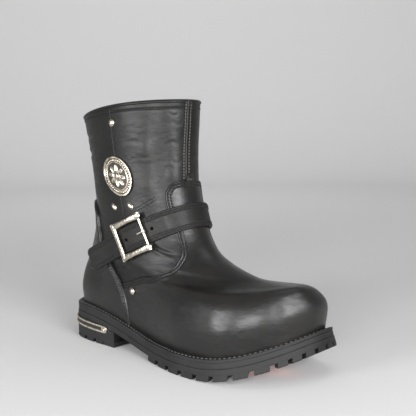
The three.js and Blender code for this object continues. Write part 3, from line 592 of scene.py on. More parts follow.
def leather_material(name, dark, light, rough, grain=1.0, gloss=0.22):
    material, tree, shader = nodes_of(name)
    where = object_coordinates(tree)
    cells = add_node(tree, "TexVoronoi", "Distance", {"Vector": where}, {"Scale": 1100})
    folds = noise(tree, object_coordinates(tree, (1, 1, 2.2)), 120, 5, 0.6)
    waves = noise(tree, object_coordinates(tree, (1, 1, 2.6)), 38, 2, 0.45)
    vary_color(tree, shader, noise(tree, where, 28, 4), dark, light)
    vary_roughness(tree, shader, folds, rough - 0.06, rough + 0.08)
    bump(tree, shader, [
        (waves, 0.3 * grain, 2.2), (folds, 0.5 * grain, 0.65), (cells, 0.35 * grain, 0.16),
        (noise(tree, where, 900), 0.3 * grain, 0.1)])
    set_values(shader, {"Specular IOR Level": gloss, "Coat Weight": 0.08, "Coat Roughness": 0.28})
    return material


def rubber_material(name, dark, light, rough):
    material, tree, shader = nodes_of(name)
    where = object_coordinates(tree)
    broad = noise(tree, where, 40, 4)
    streak = noise(tree, object_coordinates(tree, (0.08, 0.08, 1)), 900, 2)
    vary_color(tree, shader, broad, dark, light)
    vary_roughness(tree, shader, broad, rough - 0.06, rough + 0.08)
    bump(tree, shader, [(streak, 0.5, 0.4), (noise(tree, where, 1500, 2), 0.25, 0.12)])
    set_values(shader, {"Specular IOR Level": 0.25})
    return material


def metal_material(name, dark, light, rough):
    material, tree, shader = nodes_of(name)
    where = object_coordinates(tree)
    broad = noise(tree, where, 220, 4)
    vary_color(tree, shader, broad, dark, light)
    vary_roughness(tree, shader, broad, rough - 0.08, rough + 0.1)
    bump(tree, shader, [(noise(tree, where, 1400), 0.15, 0.1)])
    set_values(shader, {"Metallic": 1})
    return material


def plain_material(name, color, rough, specular=0.5):
    material, tree, shader = nodes_of(name)
    where = object_coordinates(tree)
    vary_color(tree, shader, noise(tree, where, 300), [0.8 * c for c in color], color)
    bump(tree, shader, [(noise(tree, where, 1200, 2), 0.25, 0.12)])
    set_values(shader, {"Roughness": rough, "Specular IOR Level": specular})
    return material


LEATHER = leather_material("black_leather", (0.005, 0.0047, 0.0045), (0.009, 0.0085, 0.008), 0.4)
VAMP_LOOK = leather_material(
    "black_vamp_leather", (0.0055, 0.0052, 0.005), (0.009, 0.0085, 0.008), 0.35, grain=0.6, gloss=0.36)
STRAP_LOOK = leather_material("black_strap_leather", (0.006, 0.0057, 0.0054), (0.01, 0.0094, 0.009), 0.52)
THREAD = plain_material("black_thread", (0.004, 0.0038, 0.0036), 0.6)
# Near-black, unreflecting material for the strap's holes: painted shade inside the holes
HOLE_SHADE_LOOK = plain_material("painted_hole_shade", (0.001, 0.001, 0.001), 0.9, 0.05)
# Lighter thread for the front seam's stitches: a painted highlight on the thread
HIGHLIGHT_THREAD = plain_material("painted_highlight_thread", (0.1, 0.096, 0.09), 0.45)
WELT_THREAD = plain_material("grey_thread", (0.075, 0.072, 0.067), 0.6)
RUBBER = rubber_material("black_rubber", (0.009, 0.009, 0.0095), (0.015, 0.015, 0.0158), 0.58)
ORANGE = rubber_material("orange_rubber", (0.82, 0.13, 0.045), (0.95, 0.19, 0.07), 0.5)
GREY = rubber_material("grey_rubber", (0.14, 0.14, 0.14), (0.2, 0.2, 0.2), 0.5)
NICKEL = metal_material("antique_nickel", (0.42, 0.38, 0.32), (0.7, 0.64, 0.55), 0.26)
DARK_METAL = metal_material("dark_metal", (0.05, 0.045, 0.04), (0.09, 0.08, 0.07), 0.5)
PLATE_METAL = metal_material("plate_metal", (0.5, 0.46, 0.39), (0.74, 0.69, 0.6), 0.32)
BADGE_METAL = metal_material("badge_metal", (0.34, 0.31, 0.26), (0.6, 0.55, 0.47), 0.3)
LINING = leather_material("brown_lining", (0.035, 0.03, 0.026), (0.05, 0.043, 0.037), 0.7)


# Upper
HEM = Sizes(row=0.32, depth=0.6, width=0.05)
UPPER_COLUMNS = 320
OUTSIDE_ROWS = np.concatenate([np.linspace(0, TOP_ROW - 0.6, 190), np.linspace(TOP_ROW - 0.57, TOP_ROW, 20)])
INSIDE_ROWS = np.linspace(TOP_ROW, 0, 40)
RIM_TURN = np.linspace(0, np.pi, 7)[1:-1]


def make_upper():
    """Closed wall of rings up the outside, over the rim and down the inside."""
    theta = circle(UPPER_COLUMNS)
    rim = UPPER_WALL / 2
    outside, inside = np.zeros(len(OUTSIDE_ROWS)), np.zeros(len(INSIDE_ROWS))
    rows = np.concatenate([OUTSIDE_ROWS, np.full(len(RIM_TURN), TOP_ROW), INSIDE_ROWS])
    outs = np.concatenate([outside, rim * np.cos(RIM_TURN) - rim, inside - UPPER_WALL])
    bulge = np.concatenate([outside, rim * np.sin(RIM_TURN), inside])
    hem = HEM.depth * hump(rows, TOP_ROW - HEM.row, HEM.width) * (outs == 0)
    points = leather(theta, rows[:, None], outs[:, None])
    points -= hem[:, None, None] * skin_normal(theta, rows[:, None])
    points += bulge[:, None, None] * unit(skin(theta, TOP_ROW) - skin(theta, TOP_ROW - 0.1))
    low = rows == 0
    points[low, :, 2] = sole_top(points[low, :, 0]) + CLEARANCE
    faces = grid_faces(len(points), UPPER_COLUMNS, True, True)
    make_piece("upper_leather", points, faces, LEATHER, "shaft_leather", ["upper"])


# Overlays: a sheet between an edge curve and a line low on the leather.
# A curve has rows of an angle and a ring; EDGE_STEPS are distances from a sheet's edge.
EDGE_STEPS = np.concatenate([[0, 0.12], np.arange(0.3, 7.3, 0.3)])
EDGE_WAVES = (Sizes(height=0.4, at=1.0, width=0.8), Sizes(height=0.2, at=sum(STITCH_ROWS) / 2, width=0.8))
EDGE_CHANNEL = Sizes(depth=0.6, width=0.7)


def find_row(rise, first):
    """Ring where a value that grows from ring to ring is 0, by halving the range above the first rings."""
    low, high = first, np.full(first.shape, float(TOP_ROW))
    for _ in range(HALVINGS):
        row = (low + high) / 2
        under = rise(row) < 0
        low, high = np.where(under, row, low), np.where(under, high, row)
    return (low + high) / 2


def solve_side(edge):
    """Angle and ring on the lateral side for points of a side view."""
    x, z = np.array(edge).T * [[SOLE_LENGTH], [UPPER_HEIGHT]]

    def angle(row):
        back, front = [spline(np.arange(TOP_ROW + 1), RINGS[name], row) * SOLE_LENGTH
                       for name in ("back", "front")]
        return np.arccos(np.clip(1 - 2 * (x - back) / (front - back), -1, 1))

    row = find_row(lambda ring: skin(angle(ring), ring)[:, 2] - z, np.zeros(len(x)))
    return np.stack([angle(row), row], -1)


def smooth_curve(points, count):
    """Even curve through chosen points."""
    points = np.asarray(points, float)
    length = lengths(skin(points[:, 0], points[:, 1]))
    s = np.linspace(0, length[-1], count)
    return np.stack([spline(length, points[:, k], s) for k in range(2)], -1)


def mirrored(points):
    other = points[::-1].copy()
    other[:, 0] = 2 * np.pi - other[:, 0]
    return other


def shift_curve(curve, distance):
    """Moves a curve on the skin sideways, to the left of its way, by a distance in mm."""
    steps = max(int(math.ceil(abs(distance) / SHIFT_STEP)), 1)
    for _ in range(steps):
        around, up = skin_axes(curve[:, 0], curve[:, 1])
        along = unit(np.gradient(skin(curve[:, 0], curve[:, 1]), axis=0))
        side = np.cross(unit(np.cross(around, up)), along)
        a, b, c = (around * around).sum(1), (around * up).sum(1), (up * up).sum(1)
        p, q = (around * side).sum(1), (up * side).sum(1)
        det = a * c - b * b
        step = np.stack([(c * p - b * q) / det, (a * q - b * p) / det], -1)
        curve = curve + step * distance / steps
    return curve


def sewn_edge(inward):
    """Rolled bead and two sewn channels along a leather edge, in mm out of the leather."""
    raised = sum(wave.height * hump(inward, wave.at, wave.width) for wave in EDGE_WAVES)
    channels = sum(hump(inward, row, EDGE_CHANNEL.width) for row in STITCH_ROWS)
    return raised - EDGE_CHANNEL.depth * channels


def sheet_body(edge, base, inner, high, rows, under, rim):
    """Closed leather sheet with a rounded, sewn edge; inner is the side of its edge that it lies on."""
    near = [edge]
    for step in np.diff(EDGE_STEPS):
        near.append(shift_curve(near[-1], inner * step))
    near = np.array(near)
    far = near[-1] + (base - near[-1]) * np.linspace(0, 1, rows)[1:, None, None]
    below = edge + (base - edge) * np.linspace(1, 0, under)[:, None, None]
    inward = np.concatenate([EDGE_STEPS, np.full(rows - 1, EDGE_STEPS[-1] + 3)])
    low = CLEARANCE / 2
    outs = low + (high - low) * (0.25 + 0.75 * round_off(inward, rim)) + sewn_edge(inward)
    curves = np.concatenate([near, far, below])
    outs = np.concatenate([outs, np.full(under, low)])
    return leather(curves[..., 0], curves[..., 1], outs[:, None])


def make_overlay(thread, name, node, edge, turn, inner, high, rows, under, rim, skip):
    """Overlay from its edge down to the angles turn at ring 0, with its rows of stitches."""
    base = np.stack([turn, np.zeros(len(turn))], -1)
    points = sheet_body(edge, base, inner, high, rows, under, rim)[:, ::-inner]
    rows, columns = points.shape[:2]
    faces = [face[::-1] for face in grid_faces(rows, columns, True, False)]
    faces.append([k * columns for k in range(rows)])
    faces.append([k * columns + columns - 1 for k in range(rows)][::-1])
    make_piece(name, points, faces, VAMP_LOOK, "overlay_leather", [node], LEATHER_EDGE)
    stitch_rows(thread, edge, [inner * inset for inset in STITCH_ROWS], high - STITCH_DEPTH, skip)


def stitch_rows(thread, curve, shifts, out, skip=0):
    """Rows of stitches at distances from a curve; skip points at each end stay bare."""
    for shift in shifts:
        path, normals = on_leather(shift_curve(curve, shift), out)
        sewn = slice(skip, len(path) - skip)
        stitches(thread, path[sewn], normals[sewn])


def make_vamp(thread):
    lateral = solve_side(VAMP_EDGE)
    front = [[np.pi, lateral[-1, 1] + 0.02]]
    edge = smooth_curve(np.concatenate([lateral, front, mirrored(lateral)]), 420)
    first, side = lateral[0, 0] - 0.02, math.radians(120)
    turn = np.interp(np.linspace(0, 1, 420), [0, 0.3, 0.7, 1],
                     [first, side, 2 * np.pi - side, 2 * np.pi - first])
    make_overlay(thread, "vamp_leather", "vamp", edge, turn, inner=-1, high=CLEARANCE + VAMP_LEATHER,
                 rows=110, under=16, rim=1, skip=8)


def make_counter(thread):
    lateral = solve_side(COUNTER_EDGE)
    medial = mirrored(lateral) - (2 * np.pi, 0)
    back = [[0, lateral[-1, 1] + 0.01]]
    edge = smooth_curve(np.concatenate([lateral, back, medial]), 300)
    first = lateral[0, 0] - 0.01
    make_overlay(thread, "counter_leather", "counter", edge, np.linspace(first, -first, 300), inner=1,
                 high=CLEARANCE + COUNTER_LEATHER, rows=80, under=12, rim=1.6, skip=6)


# Strap: it follows a slanting plane, given by its normal and its distance from the origin.
# STRAP_TIP has distances from the tail's end and shares of the width there.
NORMAL = np.array([-math.sin(STRAP_SLOPE), 0, math.cos(STRAP_SLOPE)])
DISTANCE = NORMAL[0] * STRAP_POINT[0] + NORMAL[2] * STRAP_POINT[1]
STRAP_ROWS = (2.3, 4.9)
STRAP_SOFT = 1.1
STRAP_CHANNEL = Sizes(depth=0.4, width=0.55)
STRAP_RIDGE = Sizes(height=0.25, at=3.6, width=0.8)
STRAP_TIP = [(0, 0.66), (0.4, 0.74), (1, 0.83), (2, 0.92), (3.2, 0.975), (5, 1)]
STRAP_COLUMNS = 300
STRAP_STITCH_DEPTH = 0.15
HOLE_DEGREES = (89.8, 123.1)
HOLE_DEPTH = 0.35
HOLE_PROFILE = [(1.9, 0), (1.9, 0.4), (1.6, 0.52), (1.45, 0.46), (1.4, 0.39)]


def strap_row(theta, across):
    theta, across = together(theta, across)
    return find_row(lambda row: skin(theta, row) @ NORMAL - DISTANCE - across, np.ones(theta.shape))


def strap_lift(theta):
    turn = np.degrees(np.minimum(theta, 2 * np.pi - theta))
    return CLEARANCE + smooth(*STRAP_RISE, turn) * (VAMP_LEATHER + 2 * CLEARANCE)


def strap_point(theta, across, out):
    return leather(theta, strap_row(theta, across), strap_lift(theta) + out)


def strap_at(s, across, out):
    """Strap surface at an angle in degrees, or behind the first angle at a distance s - STRAP_FROM < 0."""
    s, across = together(s, across)
    start = math.radians(STRAP_FROM)
    theta = np.radians(np.maximum(s, STRAP_FROM))
    p = strap_point(theta, across, out)
    back = np.maximum(STRAP_FROM - s, 0)
    tangent = unit(strap_point(start - STEP, 0, 0) - strap_point(start + STEP, 0, 0))
    p = p + back[..., None] * tangent
    p[..., 1] -= TAIL.curl * back ** 2
    return p


def strap_section():
    """Across and out of the strap's rounded section, around it."""
    half = STRAP_WIDTH / 2
    corners = []
    for side, level, start in ((1, 1, 0), (-1, 1, 90), (-1, 0, 180), (1, 0, 270)):
        turn = np.radians(start + np.linspace(0, 90, 5))
        middle = STRAP_SOFT + level * (STRAP_THICKNESS - 2 * STRAP_SOFT)
        corners.append([side * (half - STRAP_SOFT) + STRAP_SOFT * np.cos(turn),
                        middle + STRAP_SOFT * np.sin(turn)])
    place = np.linspace(0.88, -0.88, 47) * half
    inward = half - np.abs(place)
    channels = sum(hump(inward, row, STRAP_CHANNEL.width) for row in STRAP_ROWS)
    ridge = STRAP_RIDGE.height * hump(inward, STRAP_RIDGE.at, STRAP_RIDGE.width)
    top = [place, STRAP_THICKNESS - STRAP_CHANNEL.depth * channels + ridge]
    return np.concatenate([corners[0], top, *corners[1:]], axis=1)


def make_strap(thread):
    across, out = strap_section()
    tail = STRAP_FROM - TAIL.long
    tip, narrow = np.array(STRAP_TIP).T
    s = np.concatenate([tail + tip, np.linspace(tail + 7, STRAP_TO, STRAP_COLUMNS)])
    narrow = np.concatenate([narrow, np.ones(STRAP_COLUMNS)])
    body, faces = loft([strap_at(at, across * share, out) for at, share in zip(s, narrow)])
    make_piece("strap_leather", body, faces, STRAP_LOOK, "strap_leather", ["strap"], LEATHER_EDGE)
    line = np.linspace(tail + 2.2, STRAP_TO - 1, 400)
    for side in (-1, 1):
        for inset in STRAP_ROWS:
            place = side * (STRAP_WIDTH / 2 - inset)
            path = strap_at(line, place, STRAP_THICKNESS - STRAP_STITCH_DEPTH)
            width = strap_at(line, place + 0.5, STRAP_THICKNESS) - path
            stitches(thread, path, unit(np.cross(np.gradient(path, axis=0), width)))
    # The holes are shallow near-black discs on the strap: painted shade stands in for their depth
    holes = []
    for at in HOLE_DEGREES:
        centre = strap_at(at, 0, STRAP_THICKNESS - HOLE_DEPTH)
        ahead = unit(strap_at(at + 0.5, 0, STRAP_THICKNESS) - strap_at(at - 0.5, 0, STRAP_THICKNESS))
        side = unit(strap_at(at, 1, STRAP_THICKNESS) - strap_at(at, -1, STRAP_THICKNESS))
        out_of = np.cross(ahead, side)
        holes.append(loft([circle_points(centre + out_of * rise, radius, ahead, side, 20)
                           for radius, rise in HOLE_PROFILE]))
    Parts(holes).piece("strap_holes_painted_shade", HOLE_SHADE_LOOK, "strap_leather")


# Buckle: its points lie along the strap, up across it and out of it
BAR_MIDDLE = BUCKLE.thick / 2
BAR = Sizes(rings=40, sides=18, curve=0.8, ribs=9, rib=0.02, boxy=0.75)
LONG_BAR = (BUCKLE.bar * 1.2, 0.24)
END_BAR = (BUCKLE.bar * 1.15, 0.2)
KNOB = (BUCKLE.bar * 0.66, BUCKLE.bar * 0.66, BUCKLE.thick * 0.62)
KNOB_TIP = (2.0, 1.9, 1.8)
TIP_SHIFT = (BUCKLE.bar * 0.3, BUCKLE.bar * 0.42)
PIN_RADIUS = 1.35
PRONG_COLLAR = Sizes(half=1.7, radius=1.9, swell=0.5)
PRONG = Sizes(start=1, end=8.5, thick=1.25, thin=0.75, drop=0.2)


def buckle_matrix():
    theta = math.radians(BUCKLE.theta)
    turn = math.radians(BUCKLE.seat)
    half = STRAP_WIDTH / 2
    along = unit(strap_point(theta + turn, 0, 0) - strap_point(theta - turn, 0, 0))
    up = strap_point(theta, half, 0) - strap_point(theta, -half, 0)
    up = unit(up - along * (up @ along))
    out = np.cross(along, up)
    at = strap_point(theta, 0, STRAP_THICKNESS + CLEARANCE + BUCKLE.lift)
    return along, up, out, at


def on_buckle(points):
    along, up, out, at = buckle_matrix()
    points = np.asarray(points, float)
    drop = points[..., 2] - points[..., 0] ** 2 / (2 * BUCKLE.radius)
    return at + points[..., :1] * along + points[..., 1:2] * up + drop[..., None] * out


def buckle_bar(start, end, wide, waist):
    """Bar of the frame between two corners, thinner and finely ribbed in the middle."""
    start, end = np.array(start, float), np.array(end, float)
    way = end - start
    side = unit(np.array([-way[1], way[0]]))
    turn = circle(BAR.sides)
    rings = []
    for share in np.linspace(0, 1, BAR.rings):
        slim = 1 - waist * math.sin(math.pi * share) ** BAR.curve
        rib = 1 + BAR.rib * math.cos(2 * math.pi * BAR.ribs * share)
        across = wide / 2 * slim * rib * boxy(np.cos(turn), BAR.boxy)
        high = BAR_MIDDLE * rib * boxy(np.sin(turn), BAR.boxy)
        rings.append(np.column_stack([start + way * share + across[:, None] * side, BAR_MIDDLE + high]))
    return loft(rings)


def ball(centre, radii):
    lift = np.linspace(-1.45, 1.45, 9)
    return loft(turned(zip(np.cos(lift), np.sin(lift)), 14) * radii + centre)


def buckle_piece(name, node, bodies):
    curved = [(on_buckle(points), faces) for points, faces in bodies]
    Parts(curved).piece(name, NICKEL, "trim_metal", [node], METAL_EDGE)


def make_buckle():
    """Frame of three bars, four knobbed corners and a pin, and the prong on the pin."""
    x, y = (BUCKLE.long - BUCKLE.bar) / 2, (BUCKLE.high - BUCKLE.bar) / 2
    pin = BUCKLE.long / 2 - PIN_INSET
    bodies = [buckle_bar((-x, y), (x, y), *LONG_BAR), buckle_bar((-x, -y), (-x, y), *END_BAR),
              buckle_bar((x, -y), (-x, -y), *LONG_BAR)]
    for right, up in ((1, 1), (-1, 1), (-1, -1), (1, -1)):
        bodies.append(ball((right * x, up * y, BAR_MIDDLE), KNOB))
        tip = (right * (x + TIP_SHIFT[0]), up * (y + TIP_SHIFT[1]), BAR_MIDDLE)
        bodies.append(ball(tip, KNOB_TIP))
    bodies.append(tube(path_of(pin, np.linspace(-y, y, 24), BAR_MIDDLE), PIN_RADIUS, 12))
    buckle_piece("buckle", "buckle_frame", bodies)
    collar = path_of(pin, np.linspace(-PRONG_COLLAR.half, PRONG_COLLAR.half, 12), BAR_MIDDLE)
    swell = PRONG_COLLAR.radius + PRONG_COLLAR.swell * np.sin(np.linspace(0, np.pi, 12))
    reach = path_of(np.linspace(pin - PRONG.start, pin - PRONG.end, 16), 0, BAR_MIDDLE - PRONG.drop)
    buckle_piece("buckle_tongue", "buckle_prong", [
        tube(collar, swell, 14), tube(reach, np.linspace(PRONG.thick, PRONG.thin, 16), 10)])


# Badge and rivets
BEADS = Sizes(count=40, inset=3.6, height=0.8, size=0.8)
OUTER_RING = Sizes(inset=5.6, height=0.7, width=0.5)
INNER_RING = Sizes(radius=4.3, height=0.5, width=0.45)
LEAF = Sizes(count=8, reach=11.6, curve=0.55, height=0.7, vein=0.45)
HEART = Sizes(radius=2.5, height=0.9)
BADGE_STEPS = 320
DEEP = 0.22


def wrap(points, degrees, row, lift):
    """Lays points that are built flat, around z, on the leather."""
    theta = math.radians(degrees)
    around, up = skin_axes(theta, row)
    points = np.asarray(points, float)
    turn = theta + points[..., 0] / np.linalg.norm(around)
    rows = row + points[..., 1] / np.linalg.norm(up)
    return leather(turn, rows, lift + points[..., 2])


def badge_relief(r, turn):
    """Height of the badge's relief at a distance from its middle, with beads and a plain rosette."""
    radius = BADGE.radius
    rim = 1.1 * smooth(radius - 2.1, radius - 1.5, r)
    bead_circle = radius - BEADS.inset
    bead_turn = np.mod(turn * BEADS.count / (2 * np.pi), 1) - 0.5
    bead_gap = (r - bead_circle) ** 2 + (bead_turn * 2 * np.pi * bead_circle / BEADS.count) ** 2
    beads = BEADS.height * hump(bead_gap, 0, BEADS.size)
    rings = (OUTER_RING.height * hump(r, radius - OUTER_RING.inset, OUTER_RING.width, 4)
             + INNER_RING.height * hump(r, INNER_RING.radius, INNER_RING.width, 4))
    petal = LEAF.reach * np.abs(np.cos(LEAF.count / 2 * turn)) ** LEAF.curve
    leaf = LEAF.height * smooth(-0.9, 0.2, petal - 0.6 - r) * smooth(4.9, 5.6, r)
    middle = np.mod(turn * LEAF.count / (2 * np.pi) + 0.5, 1) - 0.5
    vein = LEAF.vein * np.exp(-middle ** 2 * r ** 2 / 1.2) * (r > 5.4) * (leaf > 0.3)
    return rim + beads + rings + leaf - vein + HEART.height * hump(r, 0, HEART.radius, 4)


def make_badge():
    radius = BADGE.radius
    turn = circle(BADGE_STEPS)
    r = np.concatenate([[radius - 0.3, radius, radius - 0.15], np.linspace(radius - 0.4, 0.3, 110)])
    r = np.broadcast_to(r[:, None], (len(r), BADGE_STEPS))
    raised = badge_relief(r, turn)
    z = np.minimum(BADGE.dish * 0.9 + raised, BADGE.height)
    z[0] = 0
    z[1] = 1.2
    flat, faces = loft(np.stack([r * np.cos(turn), r * np.sin(turn), z], -1))
    points = wrap(flat, BADGE.theta, BADGE.row, CLEARANCE)
    piece = make_piece("side_badge", points, faces, BADGE_METAL, "trim_metal", ["badge"], DOME_EDGE)
    deep = (raised < DEEP).ravel()
    deep[:3 * BADGE_STEPS] = False
    paint_faces(piece, DARK_METAL, deep)


RIVETS = [
    ("rivet_top", 96.9, 14.12, CLEARANCE),
    ("rivet_back", 86, 9.84, CLEARANCE),
    ("rivet_front", 106.1, 10.21, CLEARANCE),
    ("rivet_heel_lateral", 73.4, 1.87, VAMP_LEATHER + 4 * CLEARANCE),
    ("rivet_heel_medial", 286.6, 1.87, VAMP_LEATHER + 4 * CLEARANCE),
]


def make_rivets():
    radius, edge = RIVET.radius, 0.62
    profile = [(radius * 0.97, -0.2), (radius, 0.25), (radius * 0.97, 0.5), (radius * 0.86, edge)]
    profile += [(radius * 0.82 * math.cos(turn), edge + (RIVET.dome - edge) * math.sin(turn))
                for turn in np.linspace(0.05, 1.5, 10)]
    flat, faces = loft(turned(profile, 32))
    for name, degrees, row, lift in RIVETS:
        points = wrap(flat, degrees, row, lift)
        make_piece(name + "_cap", points, faces, NICKEL, "trim_metal", [name], DOME_EDGE)


# Heel plate: shares across it are 0 at its low edge and 1 at its high one
PLATE_COLUMNS = 240
PLATE_SIDES = 48
PLATE_BOXY = 0.35
PLATE_RELIEF = Sizes(panel=0.55, rib=0.5, border=0.12)
SCREWS = {"rear": PLATE.start + 3.4, "front": PLATE.end - 1.7}
SCREW_PROFILE = [(2.1, -0.2, 0), (2.1, 0.3, 0), (1.7, 0.8, 0.5), (1.0, 0.95, 0.7), (0.3, 1, 0.7)]


def plate_point(degrees, share, out):
    theta = np.radians(degrees)
    z = mix(PLATE.low, PLATE.high, share)
    z = z + PLATE.rise * (PLATE.end - degrees) / (PLATE.end - PLATE.start)
    p = side_point(theta, LUG_DEPTH * z / (HEEL_LIFT + LUG_DEPTH), -CLEARANCE - np.asarray(out, float))
    p[..., 2] = z
    return p


def make_heel_plate():
    degrees = np.linspace(PLATE.start, PLATE.end, PLATE_COLUMNS)
    turn = circle(PLATE_SIDES)
    share = 0.5 + 0.5 * boxy(np.sin(turn), PLATE_BOXY)
    face = 0.5 + 0.5 * boxy(np.cos(turn), PLATE_BOXY)
    across = np.abs(share - 0.5)
    rings, inside = [], []
    for angle in degrees:
        end = min(angle - PLATE.start, PLATE.end - angle)
        panel = smooth(0.33, 0.27, across) * smooth(5.2, 6.4, end * (1 + 0.6 * (angle > 36)))
        ribbed = (np.abs(across - 0.12) < 0.07) * (math.cos(math.radians(angle) * 200) > -0.3)
        rib = PLATE_RELIEF.rib * ribbed
        border = PLATE_RELIEF.border * hump(across, 0.4, 0.05) * math.cos(math.radians(angle) * 300)
        out = PLATE.thick * face + face * (border - PLATE_RELIEF.panel * panel * (1 - rib))
        narrow = 0.55 + 0.45 * round_off(end, 2.5)
        rings.append(plate_point(np.full(PLATE_SIDES, angle), 0.5 + (share - 0.5) * narrow, out))
        inside.append((panel > 0.5) & (rib == 0) & (face > 0.9))
    piece = make_piece(
        "heel_side_plate", *loft(rings), PLATE_METAL, "plate_metal", ["heel_plate"], METAL_EDGE)
    paint_faces(piece, DARK_METAL, np.ravel(inside))
    up = np.array([0, 0, 1.0])
    slot = 0.5 * (np.abs(np.sin(circle(28))) < 0.25)
    for name, angle in SCREWS.items():
        centre = plate_point(angle, 0.5, PLATE.thick + 0.05)
        out_of = unit(centre - plate_point(angle, 0.5, 0))
        side = unit(np.cross(up, out_of))
        rings = [circle_points(centre + out_of * (rise - slot[:, None] * dip), radius, side, up, 28)
                 for radius, rise, dip in SCREW_PROFILE]
        make_piece(f"plate_screw_{name}_head", *loft(rings), NICKEL, "plate_metal", [f"plate_screw_{name}"],
                   METAL_EDGE)


# Sole
AROUND = circle(420)
GROOVE = Sizes(pitch=1.25, depth=0.16, soft=0.5)
LUG_SOFT = 0.7


def striped_side(low, high, step):
    """Body of a layer whose side has fine grooves and softened edges."""
    soft = GROOVE.soft
    rings = []
    for k, height in enumerate(np.arange(low, high - GROOVE.pitch / 4, GROOVE.pitch / 2)):
        rounding = max(soft - min(height - low, high - height), 0) ** 2 / (2 * soft)
        rings.append(side_point(AROUND, height, step + GROOVE.depth * (k % 2) + rounding))
    rings.append(side_point(AROUND, high, step + soft / 2))
    return loft(rings)


def lug_body(arc, size, ground, depth):
    """Lug at a length of the edge, from the ground to its root in the sole, slightly chamfered below."""
    plan = [(share, 0) for share in (-1, -0.5, 0, 0.5, 1)]
    plan += [(size.waist, size.reach / 2), (size.inner, size.reach)]
    plan += [(-share, inset) for share, inset in plan[:-3:-1]]

    def corner(share, inset):
        return outline_point(theta_at_arc(arc + share * size.width / 2), inset)

    low = np.array([corner(*place) for place in plan])
    high = np.array([corner(share, inset or flare(corner(share, 0)[0]) * LUG_DEPTH / STACK)
                     for share, inset in plan])
    way = low - low.mean(0)
    inset = low - way * LUG_SOFT / np.linalg.norm(way, axis=1, keepdims=True)
    return loft([np.column_stack([inset, ground(inset[:, 0])]),
                 np.column_stack([low, ground(low[:, 0]) + LUG_SOFT]),
                 np.column_stack([high, ground(high[:, 0]) + depth + LUG_ROOT])])


def sole_lugs():
    lateral = arc_at_theta(theta_at_x(FIRST_LUG))
    medial = arc_at_theta(2 * np.pi - theta_at_x(FIRST_LUG))
    lugs = []
    for i in range(SIDE_LUG.count):
        along = SIDE_LUG.width / 2 + i * SIDE_LUG.pitch
        lugs.append(lug_body(lateral + along, SIDE_LUG, ground_height, LUG_DEPTH))
        lugs.append(lug_body(medial - along, SIDE_LUG, ground_height, LUG_DEPTH))
    start = lateral + SIDE_LUG.count * SIDE_LUG.pitch
    pitch = (medial - SIDE_LUG.count * SIDE_LUG.pitch - start) / TOE_LUG.count
    size = Sizes(**vars(TOE_LUG), width=pitch * TOE_LUG.share)
    for i in range(TOE_LUG.count):
        lugs.append(lug_body(start + (i + 0.5) * pitch, size, ground_height, LUG_DEPTH))
    return lugs


def waist_ribs():
    """Slanting ribs under the waist, mirrored about the middle of the sole."""
    wide, long = WAIST_RIB.wide, WAIST_RIB.long
    run = long * WAIST_RIB.slope
    levels = (LUG_DEPTH + LUG_ROOT, LUG_DEPTH - WAIST_RIB.height)
    ribs = []
    for side in (-1, 1):
        for i in range(WAIST_RIB.count):
            theta = theta_at_x(WAIST_RIB.start + WAIST_RIB.pitch * i)
            edge = outline_point(theta if side < 0 else 2 * np.pi - theta, WAIST_RIB.edge)
            plan = np.array([(0, 0), (wide, 0), (wide + run, -side * long), (run, -side * long)]) + edge
            plan = plan[::-side]
            ribs.append(loft([np.column_stack([plan, ground_height(plan[:, 0]) + z]) for z in levels]))
    return ribs


def rubber_piece(name, node, bodies):
    Parts(bodies).piece(name, RUBBER, "sole_rubber", [node], RUBBER_EDGE)


def make_outsole_and_midsole():
    body = striped_side(LUG_DEPTH, LUG_DEPTH + OUTSOLE, 0)
    rubber_piece("sole_rubber", "outsole", [body, *sole_lugs(), *waist_ribs()])
    body = striped_side(LUG_DEPTH + OUTSOLE + CLEARANCE, STACK - WELT, 0.35)
    rubber_piece("midsole_rubber", "midsole", [body])


def make_welt(thread):
    """Strip with softened edges round the upper's foot, and its row of stitches."""
    low = STACK - WELT + CLEARANCE
    outer = [(low, 0.1), (STACK - 0.6, 0), (STACK - 0.15, 0.25), (STACK, 0.8), (STACK, 2.2), (STACK, 3.2)]
    rings = [side_point(AROUND, height, step) for height, step in outer]
    for height in (STACK, low):
        ring = leather(AROUND, 0.0, -UPPER_WALL)
        ring[:, 2] = ground_height(ring[:, 0]) + height
        rings.append(ring)
    rubber_piece("welt_strip", "welt", [(rings, grid_faces(len(rings), len(AROUND), True, True))])
    ups = np.tile([0, 0, 1.0], (len(AROUND), 1))
    stitches(thread, side_point(AROUND, STACK, 2.6), ups, WELT_STITCH)


def heel_plan(height, step):
    """Outline of the heel: the sole's edge round the back, then the hollow front."""
    end = theta_at_x(HEEL_LENGTH)
    side = side_point(np.linspace(-end, end, 130), height, step)[:, :2]
    across = np.linspace(1, -1, 24)[1:-1]
    front = np.stack([HEEL_LENGTH - BREAST_HOLLOW * (1 - across ** 2),
                      mix(side[-1, 1], side[0, 1], (1 - across) / 2)], -1)
    return np.concatenate([side, front])


def make_heel():
    """Block with grooves, which ends under the outsole's slope, and its lugs."""
    levels = np.arange(HEEL_LUG_DEPTH, HEEL_LIFT + LUG_DEPTH - 1.5, 0.7)
    rings = []
    for k, z in enumerate(levels):
        plan = heel_plan(LUG_DEPTH * z / (HEEL_LIFT + LUG_DEPTH), 0.14 * (k % 2))
        top = ground_height(plan[:, 0]) + LUG_DEPTH - CLEARANCE
        rings.append(np.column_stack([plan, np.minimum(z, top - 0.02 * (len(levels) - k))]))
    plan = heel_plan(LUG_DEPTH, 0)
    rings.append(np.column_stack([plan, ground_height(plan[:, 0]) + LUG_DEPTH - CLEARANCE]))
    bodies = [loft(rings)]
    for i in range(-HEEL_LUG.pairs, HEEL_LUG.pairs + 1):
        bodies.append(lug_body(i * HEEL_LUG.pitch, HEEL_LUG, np.zeros_like, HEEL_LUG_DEPTH))
    end = arc_at_theta(theta_at_x(HEEL_LENGTH)) - HEEL_CORNER.width / 2
    for side in (-1, 1):
        bodies.append(lug_body(side * end, HEEL_CORNER, np.zeros_like, HEEL_LUG_DEPTH))
    rubber_piece("heel_rubber", "heel", bodies)


